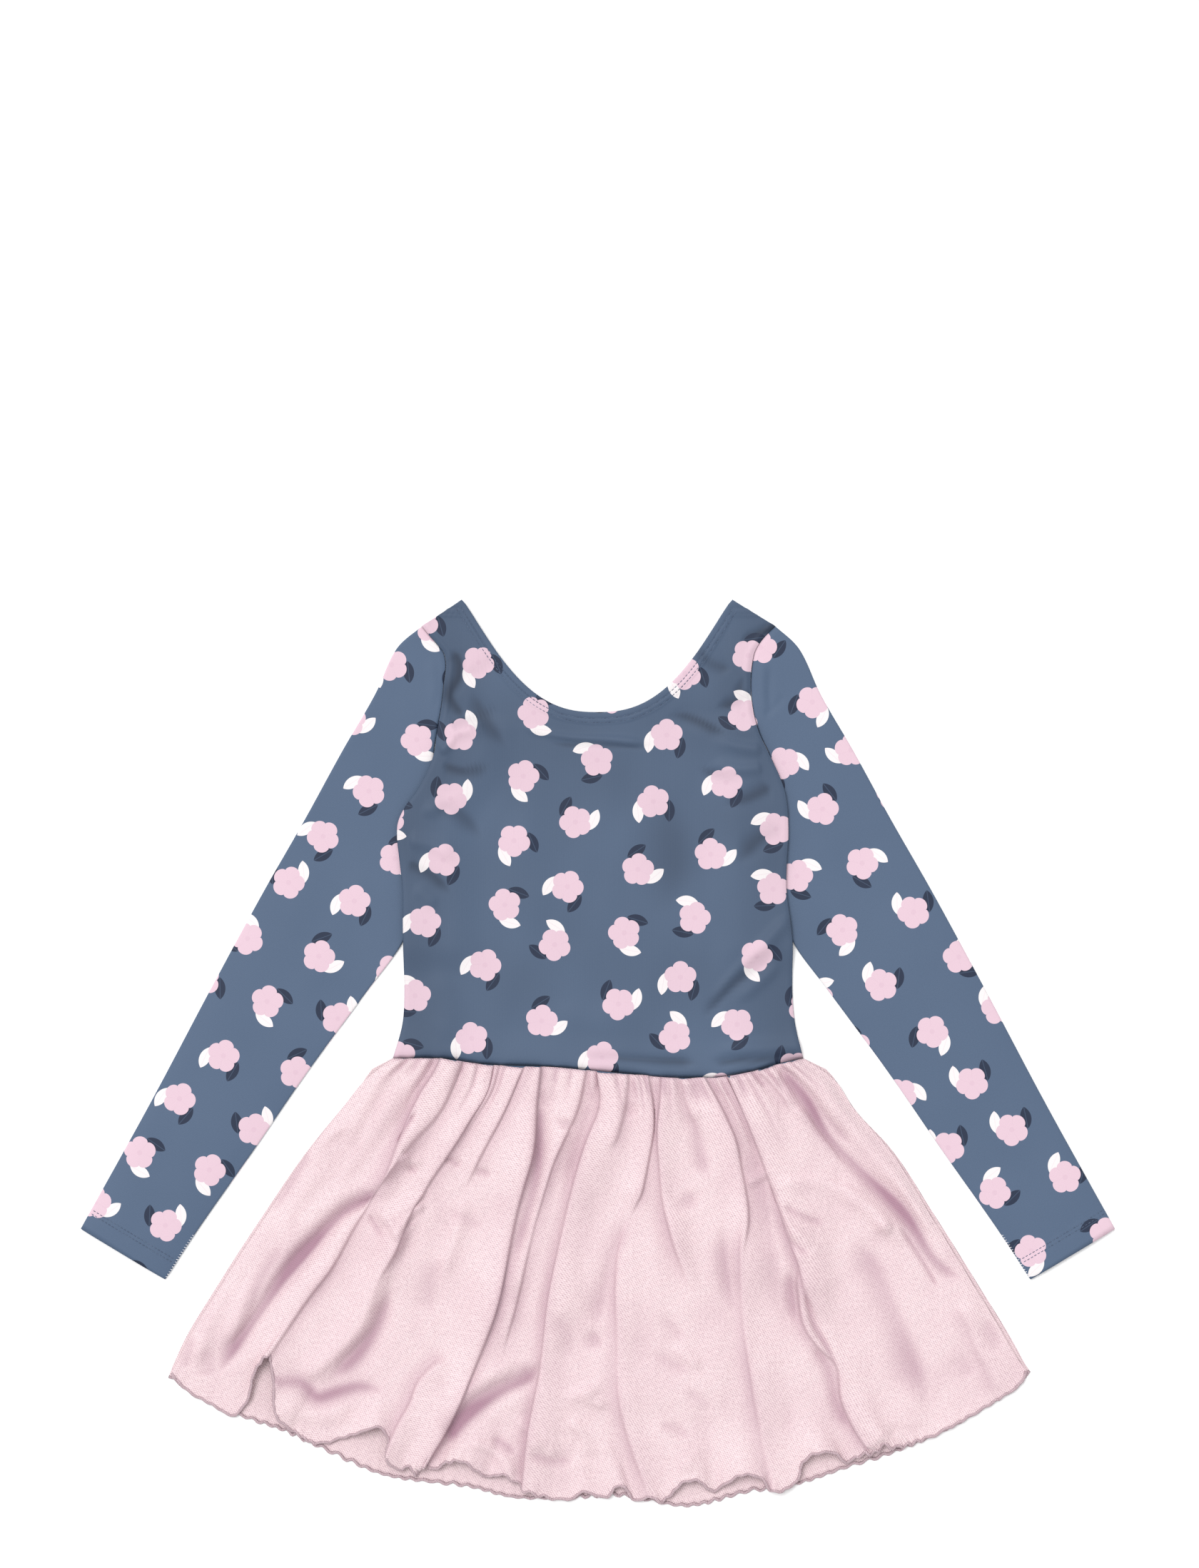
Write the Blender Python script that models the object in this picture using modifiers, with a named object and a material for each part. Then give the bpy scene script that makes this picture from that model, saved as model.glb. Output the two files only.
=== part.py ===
"""A child's long-sleeved skirted leotard, laid flat on its back with its front up.

The tables and sizes are in millimetres, and one scale turns them into metres at the end.
+Z is up off the table, +Y runs towards the neck and +X to the right of someone looking down
at the front. The origin is on the table, under the middle of the garment's box.

Every piece is a sheet of cloth with a wall of 1 mm. Seen from above, a sheet is a patch between
four edges, and a height for each of its points lays it over whatever is under it:

    table, skirt back, brief back, brief front, skirt front        below the waist seam
    table, bodice back, bodice front                               above the waist seam
    table, sleeve (a flat tube), bodice back, bodice front         under the arms

The skirt front stands up in folds that start as gathers at the waist and end in the hem's waves.
"""

from collections import namedtuple

import bmesh
import bpy
import numpy as np

MM = 0.001

# Where the tables' own zero lies from the middle of the garment's box
BOX_MIDDLE = (-0.9, 0.5)

# Cloth and the way its layers lie on each other
WALL = 1.0
SEAM_GAP = 0.3
LAYER_GAP = 0.4
LAYER = WALL + LAYER_GAP

# Bodice
NECK_MIDDLE = -1.4
NECK_HALF_WIDTH = 89.1
NECK_TIP_HEIGHT = 298.3
NECK_FRONT_DEPTH = 74.0
NECK_BACK_DEPTH = 82.0
NECK_ROUNDNESS = 2.5
NECK_TAPER = 1.2
NECK_BAND_WIDTH = 7.0
NECK_BAND_RISE = 0.4
STRAP_SHARE = 0.25
SIDE_REACH = 0.45
BODICE_COLUMNS = 28

# The waist seam is thick, so the bodice front climbs to meet the skirt front there
WAIST_RISE = 2.0
WAIST_RISE_LENGTH = 26.0

# Each side of the bodice lies over the top of its sleeve below the armhole
OVERLAP_LIFT = 2.9
OVERLAP_TOP = 211.0
OVERLAP_FULL_TOP = 197.0
OVERLAP_FULL_END = 72.0
OVERLAP_END = 50.0
OVERLAP_FULL_WIDTH = 30.0
OVERLAP_WIDTH = 56.0

# Sleeves
SLEEVE_FLAT = 2 * WALL + SEAM_GAP
SLEEVE_PUFF = 1.6
SLEEVE_ROWS = 14
SLEEVE_ROW_CROWDING = 1.25
SLEEVE_EDGE_INSET = 0.9
SLEEVE_SEAM_END = 197.0
SLEEVE_MIDDLE = -0.9
CUFF_HEM_DEPTH = 12.5
CUFF_HEM_RISE = 0.4

# Skirt
SKIRT_COLUMNS = 108
SKIRT_ROWS = 14
SKIRT_BACK_COLUMNS = 54
SKIRT_BACK_ROWS = 4
SKIRT_LOFT = 2.6
FRONT_INSET = 2.4
HEM_DRAW_REACH = 90.0
HEM_LIFT_REACH = 26.0

# Folds: those that start above GATHER_START are gathers, and keep a share of their height there
GATHER_START = -34.0
GATHER_SHARE = 0.55
NARROWEST_FOLD = 3.4
FOLD_PIECES = 16
FOLD_FADE_IN = 0.25
FOLD_FADE_OUT = 0.72

# Brief
BRIEF_COLUMNS = 20
BRIEF_LENGTH = 215.0

BodiceSection = namedtuple("BodiceSection", "height left right")
BODICE_SIDES = (
    BodiceSection(-3.1, -135.6, 134.2),
    BodiceSection(7.3, -132.3, 131.4),
    BodiceSection(18.6, -129.5, 129.0),
    BodiceSection(38.3, -128.1, 127.1),
    BodiceSection(55.0, -128.4, 127.0),
    BodiceSection(72.0, -128.8, 127.1),
    BodiceSection(90.0, -129.0, 125.2),
    BodiceSection(108.0, -129.2, 123.0),
    BodiceSection(128.5, -131.4, 123.4),
    BodiceSection(143.0, -132.8, 124.3),
    BodiceSection(151.0, -132.4, 124.2),
    BodiceSection(162.0, -127.6, 123.7),
    BodiceSection(173.0, -119.6, 121.8),
    BodiceSection(182.0, -114.6, 118.6),
    BodiceSection(197.0, -108.6, 111.6),
    BodiceSection(211.0, -106.6, 105.0),
    BodiceSection(231.0, -103.4, 100.4),
    BodiceSection(245.0, -101.9, 99.6),
    BodiceSection(258.0, -100.9, 100.8),
    BodiceSection(264.0, -102.4, 102.2),
    BodiceSection(269.5, -106.8, 105.2),
    BodiceSection(275.0, -111.6, 109.6),
    BodiceSection(281.1, -116.6, 115.9),
)

# The seam between bodice and skirt dips towards the right of the front
SeamPoint = namedtuple("SeamPoint", "x height")
WAIST_SEAM = (
    SeamPoint(-136.0, -3.1),
    SeamPoint(-103.0, -3.2),
    SeamPoint(-80.0, -6.4),
    SeamPoint(-30.0, -8.7),
    SeamPoint(16.0, -12.9),
    SeamPoint(50.0, -15.8),
    SeamPoint(80.0, -15.2),
    SeamPoint(102.0, -11.2),
    SeamPoint(120.0, -6.0),
    SeamPoint(135.0, -3.1),
)

# A sleeve's sections run from its outer fold to its inner fold, for the right sleeve
SleeveSection = namedtuple("SleeveSection", "outer_x outer_y inner_x inner_y")
SLEEVE_SECTIONS = (
    SleeveSection(116.6, 281.1, 106.9, 129.5),
    SleeveSection(131.4, 267.6, 112.5, 113.0),
    SleeveSection(146.4, 236.6, 118.5, 96.0),
    SleeveSection(167.0, 201.0, 129.0, 72.1),
    SleeveSection(191.0, 157.2, 151.0, 42.0),
    SleeveSection(220.2, 106.0, 190.8, -12.0),
    SleeveSection(255.4, 41.1, 225.4, -62.3),
    SleeveSection(296.3, -36.0, 263.0, -115.9),
    SleeveSection(340.3, -115.4, 284.6, -148.8),
)

# The end of a sleeve that lies hidden under the side of the bodice, from the seam downwards
HiddenPoint = namedtuple("HiddenPoint", "x height")
SLEEVE_HIDDEN_END = (
    HiddenPoint(108.6, 182.0),
    HiddenPoint(109.0, 162.0),
    HiddenPoint(108.4, 145.0),
    HiddenPoint(106.9, 129.5),
)

SkirtSection = namedtuple("SkirtSection", "height left right")
SKIRT_SIDES = (
    SkirtSection(-3.4, -135.9, 134.6),
    SkirtSection(-10.0, -149.0, 148.6),
    SkirtSection(-18.6, -155.0, 156.0),
    SkirtSection(-28.0, -162.2, 161.9),
    SkirtSection(-39.0, -171.6, 169.6),
    SkirtSection(-60.0, -188.8, 189.2),
    SkirtSection(-106.0, -220.9, 219.8),
    SkirtSection(-154.0, -252.0, 249.6),
    SkirtSection(-190.0, -273.6, 271.4),
    SkirtSection(-212.0, -283.4, 283.2),
)

# The hem line of the back, which the front's hem follows but for its waves
HemPoint = namedtuple("HemPoint", "x height")
HEM_LINE = (
    HemPoint(-283.4, -213.4),
    HemPoint(-262.0, -227.0),
    HemPoint(-234.0, -239.4),
    HemPoint(-205.0, -249.0),
    HemPoint(-172.0, -264.4),
    HemPoint(-144.0, -276.4),
    HemPoint(-112.0, -281.6),
    HemPoint(-86.0, -284.6),
    HemPoint(-58.0, -291.6),
    HemPoint(-30.0, -292.4),
    HemPoint(15.0, -290.6),
    HemPoint(59.0, -297.4),
    HemPoint(98.0, -288.0),
    HemPoint(132.0, -282.6),
    HemPoint(162.0, -272.4),
    HemPoint(192.0, -263.0),
    HemPoint(226.0, -249.0),
    HemPoint(262.0, -228.4),
    HemPoint(283.2, -211.4),
)

# Waves of the front's hem: where it draws back from the hem line and lifts off the back
HemWave = namedtuple("HemWave", "x half_width retreat lift")
HEM_WAVES = (
    HemWave(-219.0, 16.0, 34.0, 5.0),
    HemWave(-147.0, 17.0, 25.0, 7.0),
    HemWave(-125.0, 6.0, 8.0, 3.0),
    HemWave(-115.0, 5.0, 12.0, 3.0),
    HemWave(-91.0, 17.0, 20.0, 6.0),
    HemWave(-63.0, 11.0, 12.0, 3.0),
    HemWave(-9.0, 6.5, 6.0, 3.0),
    HemWave(13.5, 7.0, 9.0, 4.0),
    HemWave(34.5, 5.5, 6.0, 3.0),
    HemWave(60.5, 13.5, 15.0, 6.0),
    HemWave(97.0, 18.5, 17.0, 7.0),
    HemWave(146.0, 16.0, 19.0, 8.0),
    HemWave(177.5, 10.0, 7.0, 3.0),
    HemWave(190.0, 5.0, 5.0, 4.0),
)

# Folds of the skirt front. Each runs down through three places; it is as wide to its left and
# right as given, seen from above with the neck up, and stands up by height or dips below zero.
Fold = namedtuple("Fold", "x0 y0 x1 y1 x2 y2 left right height")
SKIRT_FOLDS = (
    Fold(-100.0, -4.0, -160.0, -88.0, -252.0, -212.0, 9.0, 7.0, 4.0),
    Fold(-104.0, -12.0, -142.0, -84.0, -238.0, -196.0, 5.0, 5.0, -3.6),
    Fold(-93.0, -6.0, -132.0, -62.0, -216.0, -194.0, 9.0, 4.0, 4.6),
    Fold(-73.0, -9.0, -112.0, -80.0, -188.0, -206.0, 12.0, 5.0, 4.4),
    Fold(-62.0, -9.0, -92.0, -86.0, -148.0, -262.0, 10.0, 4.0, 4.0),
    Fold(-52.0, -8.0, -86.0, -78.0, -124.0, -226.0, 8.0, 4.0, 3.2),
    Fold(-42.0, -9.0, -66.0, -136.0, -114.0, -270.0, 11.0, 3.6, 4.8),
    Fold(-12.0, -11.0, -44.0, -104.0, -70.0, -210.0, 9.0, 4.0, 3.4),
    Fold(2.0, -30.0, -22.0, -130.0, -46.0, -286.0, 3.6, 11.0, 4.4),
    Fold(16.0, -14.0, 8.0, -56.0, -14.0, -110.0, 8.0, 4.0, 2.6),
    Fold(30.0, -16.0, 14.0, -130.0, 34.0, -284.0, 11.0, 4.0, 3.6),
    Fold(44.0, -18.0, 40.0, -72.0, 56.0, -150.0, 9.0, 4.0, 2.8),
    Fold(56.0, -19.0, 70.0, -64.0, 74.0, -120.0, 8.0, 5.0, 2.0),
    Fold(67.0, -17.0, 94.0, -100.0, 116.0, -284.0, 4.0, 10.0, 5.0),
    Fold(88.0, -16.0, 116.0, -86.0, 152.0, -184.0, 4.0, 9.0, 4.6),
    Fold(107.0, -13.0, 124.0, -32.0, 130.0, -70.0, 5.0, 8.0, 2.4),
    Fold(116.0, -10.0, 154.0, -60.0, 238.0, -150.0, 5.0, 5.0, -3.0),
    Fold(120.0, -8.0, 166.0, -56.0, 248.0, -146.0, 8.0, 5.0, 3.6),
    Fold(134.0, -140.0, 156.0, -196.0, 182.0, -262.0, 5.0, 12.0, 4.4),
    Fold(164.0, -122.0, 192.0, -180.0, 220.0, -244.0, 10.0, 10.0, -2.6),
    Fold(-36.0, -202.0, -76.0, -230.0, -104.0, -264.0, 9.0, 8.0, -3.0),
    Fold(-226.0, -206.0, -188.0, -222.0, -144.0, -218.0, 8.0, 7.0, -2.4),
    Fold(-246.0, -142.0, -254.0, -180.0, -268.0, -214.0, 7.0, 7.0, 1.8),
    Fold(235.0, -166.0, 250.0, -194.0, 262.0, -224.0, 5.0, 9.0, 1.8),
    Fold(-126.0, -5.0, -148.0, -30.0, -166.0, -62.0, 6.0, 6.0, 2.2),
    Fold(-115.0, -4.0, -134.0, -40.0, -172.0, -96.0, 6.0, 5.0, 2.6),
    Fold(-82.0, -8.0, -90.0, -30.0, -104.0, -54.0, 5.0, 5.0, 1.8),
    Fold(-30.0, -10.0, -36.0, -40.0, -50.0, -84.0, 5.0, 6.0, 2.0),
    Fold(-1.0, -13.0, -4.0, -34.0, -14.0, -66.0, 5.0, 5.0, 1.6),
    Fold(78.0, -17.0, 94.0, -46.0, 104.0, -78.0, 5.0, 5.0, 1.8),
    Fold(98.0, -14.0, 112.0, -40.0, 122.0, -72.0, 5.0, 6.0, 1.8),
    Fold(126.0, -6.0, 146.0, -24.0, 168.0, -56.0, 6.0, 6.0, 1.8),
)

# Creases of the bodice front, in the same form
BODICE_CREASES = (
    Fold(-10.0, -3.0, 60.0, -6.0, 122.0, 3.0, 3.4, 3.6, -0.8),
    Fold(-96.0, 247.0, -88.0, 226.0, -70.0, 216.0, 6.0, 6.0, -0.7),
    Fold(-102.0, 206.0, -84.0, 212.0, -54.0, 214.0, 5.0, 5.0, 0.8),
    Fold(96.0, 214.0, 72.0, 216.0, 48.0, 226.0, 5.0, 5.0, 0.8),
    Fold(90.0, 176.0, 64.0, 186.0, 34.0, 196.0, 7.0, 7.0, 0.7),
    Fold(-100.0, 168.0, -84.0, 112.0, -92.0, 52.0, 14.0, 12.0, 0.9),
    Fold(118.0, 76.0, 96.0, 48.0, 70.0, 24.0, 8.0, 8.0, 0.8),
)

BriefSection = namedtuple("BriefSection", "drop front back")
BRIEF_SECTIONS = (
    BriefSection(0.0, 132.6, 132.6),
    BriefSection(50.0, 133.2, 133.2),
    BriefSection(90.0, 129.0, 131.0),
    BriefSection(100.0, 112.0, 124.0),
    BriefSection(112.0, 90.0, 112.0),
    BriefSection(128.0, 71.0, 92.0),
    BriefSection(150.0, 54.0, 70.0),
    BriefSection(180.0, 40.0, 48.0),
    BriefSection(BRIEF_LENGTH, 32.0, 32.0),
)

Zone = namedtuple("Zone", "half_width width_end bottom bottom_end")
BRIEF_ZONES = (
    Zone(137.0, 160.0, -138.0, -168.0),
    Zone(74.0, 104.0, -222.0, -248.0),
)

Cloth = namedtuple("Cloth", "name colour roughness")
SLATE_KNIT = Cloth("slate_knit", (0.118, 0.162, 0.258), 0.62)
PINK_MESH_KNIT = Cloth("pink_mesh_knit", (0.84, 0.66, 0.70), 0.7)


def smooth_step(value, start, end):
    """Rise from 0 at start to 1 at end; start may be the larger of the two."""
    share = np.clip((value - start) / (end - start), 0.0, 1.0)
    return share * share * (3.0 - 2.0 * share)


def spline(knots, values, places):
    """A smooth curve through (knot, value) pairs, read at the given places."""
    knots = np.asarray(knots, float)
    values = np.asarray(values, float)
    slopes = np.gradient(values, knots)
    index = np.clip(np.searchsorted(knots, places) - 1, 0, len(knots) - 2)
    width = knots[index + 1] - knots[index]
    share = (places - knots[index]) / width
    square, cube = share ** 2, share ** 3
    return (
        (2 * cube - 3 * square + 1) * values[index]
        + (cube - 2 * square + share) * width * slopes[index]
        + (3 * square - 2 * cube) * values[index + 1]
        + (cube - square) * width * slopes[index + 1]
    )


def column(rows, name):
    """One named column of a table as an array."""
    return np.array([getattr(row, name) for row in rows], float)


def seam_height(x):
    """How far up the waist seam lies at x."""
    return spline(column(WAIST_SEAM, "x"), column(WAIST_SEAM, "height"), x)


def patch(top, bottom, left, right, across, down, left_pull=None, right_pull=None):
    """Fill in the plan between four edges.

    top and bottom hold a point for each share across, left and right one for each share down.
    The pulls say how much of each side's bend reaches a column; by default it fades evenly.
    """
    across = across[None, :, None]
    down = down[:, None, None]
    left_pull = 1.0 - across if left_pull is None else left_pull[None, :, None]
    right_pull = across if right_pull is None else right_pull[None, :, None]
    straight_left = (1.0 - down) * top[0] + down * bottom[0]
    straight_right = (1.0 - down) * top[-1] + down * bottom[-1]
    body = (1.0 - down) * top[None] + down * bottom[None]
    left_bend = left[:, None, :] - straight_left
    right_bend = right[:, None, :] - straight_right
    return body + left_pull * left_bend + right_pull * right_bend


def fold_heights(plan, folds, narrowest=0.0, seam_share=0.0):
    """The height that a table of folds adds at each point of the plan.

    A fold's height falls off from its line as a bell, and along it from full in the middle to
    nothing at its ends. One that starts at the waist seam keeps seam_share of its height there.
    """
    points = plan.reshape(-1, 2)
    total = np.zeros(len(points))
    share = np.linspace(0.0, 1.0, FOLD_PIECES + 1)[:, None]
    for fold in folds:
        start = np.array((fold.x0, fold.y0))
        middle = np.array((fold.x1, fold.y1))
        end = np.array((fold.x2, fold.y2))
        line = (
            (1 - share) * (1 - 2 * share) * start
            + 4 * share * (1 - share) * middle
            + share * (2 * share - 1) * end
        )
        step = line[1:] - line[:-1]
        away = points[:, None, :] - line[None, :-1]
        along = np.clip((away * step).sum(2) / (step ** 2).sum(1), 0.0, 1.0)
        offset = away - along[..., None] * step
        distance = np.sqrt((offset ** 2).sum(2))
        nearest = distance.argmin(1)
        pick = np.arange(len(points))
        side = (
            step[nearest, 0] * offset[pick, nearest, 1]
            - step[nearest, 1] * offset[pick, nearest, 0]
        )
        width = np.maximum(np.where(side > 0.0, fold.right, fold.left), narrowest)
        travelled = (nearest + along[pick, nearest]) / len(step)
        first = seam_share if fold.y0 > GATHER_START else 0.0
        fade_in = first + (1.0 - first) * smooth_step(travelled, 0.0, FOLD_FADE_IN)
        fade_out = smooth_step(travelled, 1.0, FOLD_FADE_OUT)
        bell = np.exp(-((distance[pick, nearest] / width) ** 2))
        total += fold.height * fade_in * fade_out * bell
    return total.reshape(plan.shape[:-1])


def neck_scoop(from_middle):
    """Depth of the neck as a share of its deepest, 1 in the middle and 0 at its tips."""
    return (1.0 - from_middle ** NECK_ROUNDNESS) ** NECK_TAPER


def bodice_plan(neck_depth, columns):
    """Plan of a bodice panel, from its shoulders and neck down to the waist seam."""
    rows = BODICE_SIDES[::-1]
    height = column(rows, "height")
    left = np.stack((column(rows, "left"), height), axis=1)
    right = np.stack((column(rows, "right"), height), axis=1)
    across = np.linspace(0.0, 1.0, columns + 1)
    down = (height[0] - height) / (height[0] - height[-1])

    tips = (0.0, STRAP_SHARE, 1.0 - STRAP_SHARE, 1.0)
    neck_left = NECK_MIDDLE - NECK_HALF_WIDTH
    neck_right = NECK_MIDDLE + NECK_HALF_WIDTH
    top_x = np.interp(across, tips, (left[0, 0], neck_left, neck_right, right[0, 0]))
    from_middle = np.abs(top_x - NECK_MIDDLE) / NECK_HALF_WIDTH
    scoop = neck_depth * neck_scoop(np.minimum(from_middle, 1.0))
    shoulder = np.interp(
        across,
        tips,
        (height[0], NECK_TIP_HEIGHT, NECK_TIP_HEIGHT, height[0]),
    )
    top = np.stack((top_x, shoulder - scoop), axis=1)

    bottom_x = left[-1, 0] + (right[-1, 0] - left[-1, 0]) * across
    bottom = np.stack((bottom_x, seam_height(bottom_x)), axis=1)
    bottom[0] = left[-1]
    bottom[-1] = right[-1]
    left_pull = np.maximum(1.0 - across / SIDE_REACH, 0.0) ** 2
    right_pull = left_pull[::-1]
    return patch(top, bottom, left, right, across, down, left_pull, right_pull)


def overlap_lift(plan):
    """How far a side of the bodice is lifted by the sleeve that lies under it."""
    x, y = plan[..., 0], plan[..., 1]
    rows = BODICE_SIDES
    left = spline(column(rows, "height"), column(rows, "left"), y)
    right = spline(column(rows, "height"), column(rows, "right"), y)
    inside = np.minimum(x - left, right - x)
    over_sleeve = smooth_step(inside, OVERLAP_WIDTH, OVERLAP_FULL_WIDTH)
    from_top = smooth_step(y, OVERLAP_TOP + 14.0, OVERLAP_TOP)
    to_end = smooth_step(y, OVERLAP_END, OVERLAP_FULL_END)
    return OVERLAP_LIFT * over_sleeve * from_top * to_end


def neck_band(plan):
    """The turned neck edge stands proud of the panel: 1 on the band, 0 off it."""
    x, y = plan[..., 0], plan[..., 1]
    from_middle = np.clip(np.abs(x - NECK_MIDDLE) / NECK_HALF_WIDTH, 0.0, 0.99)
    edge = NECK_TIP_HEIGHT - NECK_FRONT_DEPTH * neck_scoop(from_middle)
    further = NECK_TIP_HEIGHT - NECK_FRONT_DEPTH * neck_scoop(from_middle + 0.01)
    steepness = (further - edge) / (0.01 * NECK_HALF_WIDTH)
    from_edge = (edge - y) / np.sqrt(1.0 + steepness ** 2)
    return smooth_step(from_edge, NECK_BAND_WIDTH + 2.0, NECK_BAND_WIDTH)


def brief_support(plan):
    """How high the skirt front's underside lies to clear what is under it."""
    x, y = np.abs(plan[..., 0]), plan[..., 1]
    over_brief = np.zeros(x.shape)
    for zone in BRIEF_ZONES:
        across = smooth_step(x, zone.width_end, zone.half_width)
        down = smooth_step(y, zone.bottom_end, zone.bottom)
        over_brief = np.maximum(over_brief, across * down)
    return LAYER + 2 * LAYER * over_brief


def hem_heights(x):
    """The plain hem line of the skirt."""
    return spline(column(HEM_LINE, "x"), column(HEM_LINE, "height"), x)


def hem_waves(x):
    """How far the front's hem draws back and lifts at x."""
    retreat = np.zeros(x.shape)
    lift = np.zeros(x.shape)
    for wave in HEM_WAVES:
        arch = np.maximum(1.0 - ((x - wave.x) / wave.half_width) ** 2, 0.0)
        retreat = np.maximum(retreat, wave.retreat * arch)
        lift = np.maximum(lift, wave.lift * arch)
    return retreat, lift


def skirt_plan(columns, rows, inset):
    """Plan of a skirt layer, from the waist seam down to the plain hem line."""
    across = np.linspace(0.0, 1.0, columns + 1)
    down = np.linspace(0.0, 1.0, rows + 1)
    height = SKIRT_SIDES[0].height + (SKIRT_SIDES[-1].height - SKIRT_SIDES[0].height) * down
    knots = -column(SKIRT_SIDES, "height")
    draw_in = inset * smooth_step(down, 0.1, 0.5)
    left_x = spline(knots, column(SKIRT_SIDES, "left"), -height) + draw_in
    right_x = spline(knots, column(SKIRT_SIDES, "right"), -height) - draw_in
    left = np.stack((left_x, height), axis=1)
    right = np.stack((right_x, height), axis=1)
    top_x = left_x[0] + (right_x[0] - left_x[0]) * across
    top = np.stack((top_x, seam_height(top_x) - SEAM_GAP), axis=1)
    bottom_x = left_x[-1] + (right_x[-1] - left_x[-1]) * across
    bottom = np.stack((bottom_x, hem_heights(bottom_x)), axis=1)
    top[0], top[-1] = left[0], right[0]
    left[-1], right[-1] = bottom[0], bottom[-1]
    return patch(top, bottom, left, right, across, down), across, down


def placed(x, y, height):
    """A point of the tables, in metres from the middle of the garment's box."""
    return ((x - BOX_MIDDLE[0]) * MM, (y - BOX_MIDDLE[1]) * MM, height * MM)


def cloth_material(cloth):
    """The plain material of a cloth, made once."""
    material = bpy.data.materials.get(cloth.name)
    if material is None:
        material = bpy.data.materials.new(cloth.name)
        material.use_nodes = True
        shader = material.node_tree.nodes["Principled BSDF"]
        shader.inputs["Base Color"].default_value = (*cloth.colour, 1.0)
        shader.inputs["Roughness"].default_value = cloth.roughness
        shader.inputs["Metallic"].default_value = 0.0
    return material


def add_object(name, mesh, cloth, collection):
    """Wrap a mesh in a named object with its cloth's material."""
    cloth_object = bpy.data.objects.new(name, mesh)
    mesh.materials.append(cloth_material(cloth))
    mesh.shade_smooth()
    collection.objects.link(cloth_object)
    return cloth_object


def add_wall(cloth_object, offset):
    """Give an open surface its wall: offset -1 grows it under the surface, 1 above it."""
    wall = cloth_object.modifiers.new("wall", "SOLIDIFY")
    wall.thickness = WALL * MM
    wall.offset = offset
    wall.use_even_offset = True
    return wall


def sheet(name, plan, heights, cloth, collection):
    """A panel: a grid laid out on its plan, its underside at its heights, then given a wall."""
    rows, columns = heights.shape
    mesh = bpy.data.meshes.new(name)
    grid = bmesh.new()
    bmesh.ops.create_grid(grid, x_segments=columns - 1, y_segments=rows - 1, size=1.0)
    for vertex in grid.verts:
        across = round((vertex.co.x + 1.0) / 2.0 * (columns - 1))
        down = round((1.0 - vertex.co.y) / 2.0 * (rows - 1))
        vertex.co = placed(*plan[down, across], heights[down, across])
    grid.to_mesh(mesh)
    grid.free()
    panel = add_object(name, mesh, cloth, collection)
    add_wall(panel, 1.0)
    return panel


def rolled_sheet(name, rings, cloth, collection):
    """A tube: a grid wrapped onto closed rings, its two edges sewn together, then given a wall."""
    rows, around = rings.shape[:2]
    mesh = bpy.data.meshes.new(name)
    grid = bmesh.new()
    bmesh.ops.create_grid(grid, x_segments=around, y_segments=rows - 1, size=1.0)
    for vertex in grid.verts:
        turn = round((vertex.co.x + 1.0) / 2.0 * around) % around
        down = round((1.0 - vertex.co.y) / 2.0 * (rows - 1))
        vertex.co = placed(*rings[down, turn])
    bmesh.ops.remove_doubles(grid, verts=grid.verts, dist=0.01 * MM)
    grid.to_mesh(mesh)
    grid.free()
    tube = add_object(name, mesh, cloth, collection)
    add_wall(tube, -1.0)
    return tube


def build_bodice(collection):
    """Back panel on the table, front panel on top of it."""
    back_plan = bodice_plan(NECK_BACK_DEPTH, BODICE_COLUMNS)
    back = sheet("back_bodice", back_plan, overlap_lift(back_plan), SLATE_KNIT, collection)

    front_plan = bodice_plan(NECK_FRONT_DEPTH, BODICE_COLUMNS)
    above_seam = front_plan[..., 1] - seam_height(front_plan[..., 0])
    rise = WAIST_RISE * smooth_step(above_seam, WAIST_RISE_LENGTH, 0.0)
    creases = fold_heights(front_plan, BODICE_CREASES)
    heights = (
        LAYER
        + overlap_lift(front_plan)
        + np.maximum(rise + creases, 0.0)
        + NECK_BAND_RISE * neck_band(front_plan)
    )
    front = sheet("front_bodice", front_plan, heights, SLATE_KNIT, collection)
    return back, front


def right_of(line):
    """The direction square to a line, to its right, at each of its points."""
    step = np.gradient(line, axis=0)
    normal = np.stack((step[:, 1], -step[:, 0]), axis=1)
    return normal / np.linalg.norm(normal, axis=1)[:, None]


def sleeve_plan(side):
    """Plan of a sleeve laid flat; side is 1 for the sleeve at +X and -1 for the other."""
    edge_name = "right" if side > 0 else "left"
    seam_rows = [row for row in BODICE_SIDES[::-1] if row.height >= SLEEVE_SEAM_END]
    seam = np.array([(side * getattr(row, edge_name), row.height) for row in seam_rows])
    hidden = np.array([(point.x, point.height) for point in SLEEVE_HIDDEN_END])
    end = np.concatenate((seam, hidden))
    top = end - SEAM_GAP * right_of(end)

    outer = np.stack((column(SLEEVE_SECTIONS, "outer_x"), column(SLEEVE_SECTIONS, "outer_y")), 1)
    inner = np.stack((column(SLEEVE_SECTIONS, "inner_x"), column(SLEEVE_SECTIONS, "inner_y")), 1)
    outer[:, 0] += side * SLEEVE_MIDDLE
    inner[:, 0] += side * SLEEVE_MIDDLE
    outer[0], inner[0] = top[0], top[-1]
    middle = (outer + inner) / 2.0
    travelled = np.cumsum(np.linalg.norm(np.diff(middle, axis=0, prepend=middle[:1]), axis=1))
    knots = travelled / travelled[-1]
    down = np.linspace(0.0, 1.0, SLEEVE_ROWS + 1) ** SLEEVE_ROW_CROWDING
    outer_line = np.stack([spline(knots, outer[:, axis], down) for axis in range(2)], axis=1)
    inner_line = np.stack([spline(knots, inner[:, axis], down) for axis in range(2)], axis=1)

    run = np.cumsum(np.linalg.norm(np.diff(top, axis=0, prepend=top[:1]), axis=1))
    across = run / run[-1]
    bottom = outer_line[-1] + across[:, None] * (inner_line[-1] - outer_line[-1])
    plan = patch(top, bottom, outer_line, inner_line, across, down)
    return plan, across, down


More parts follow.
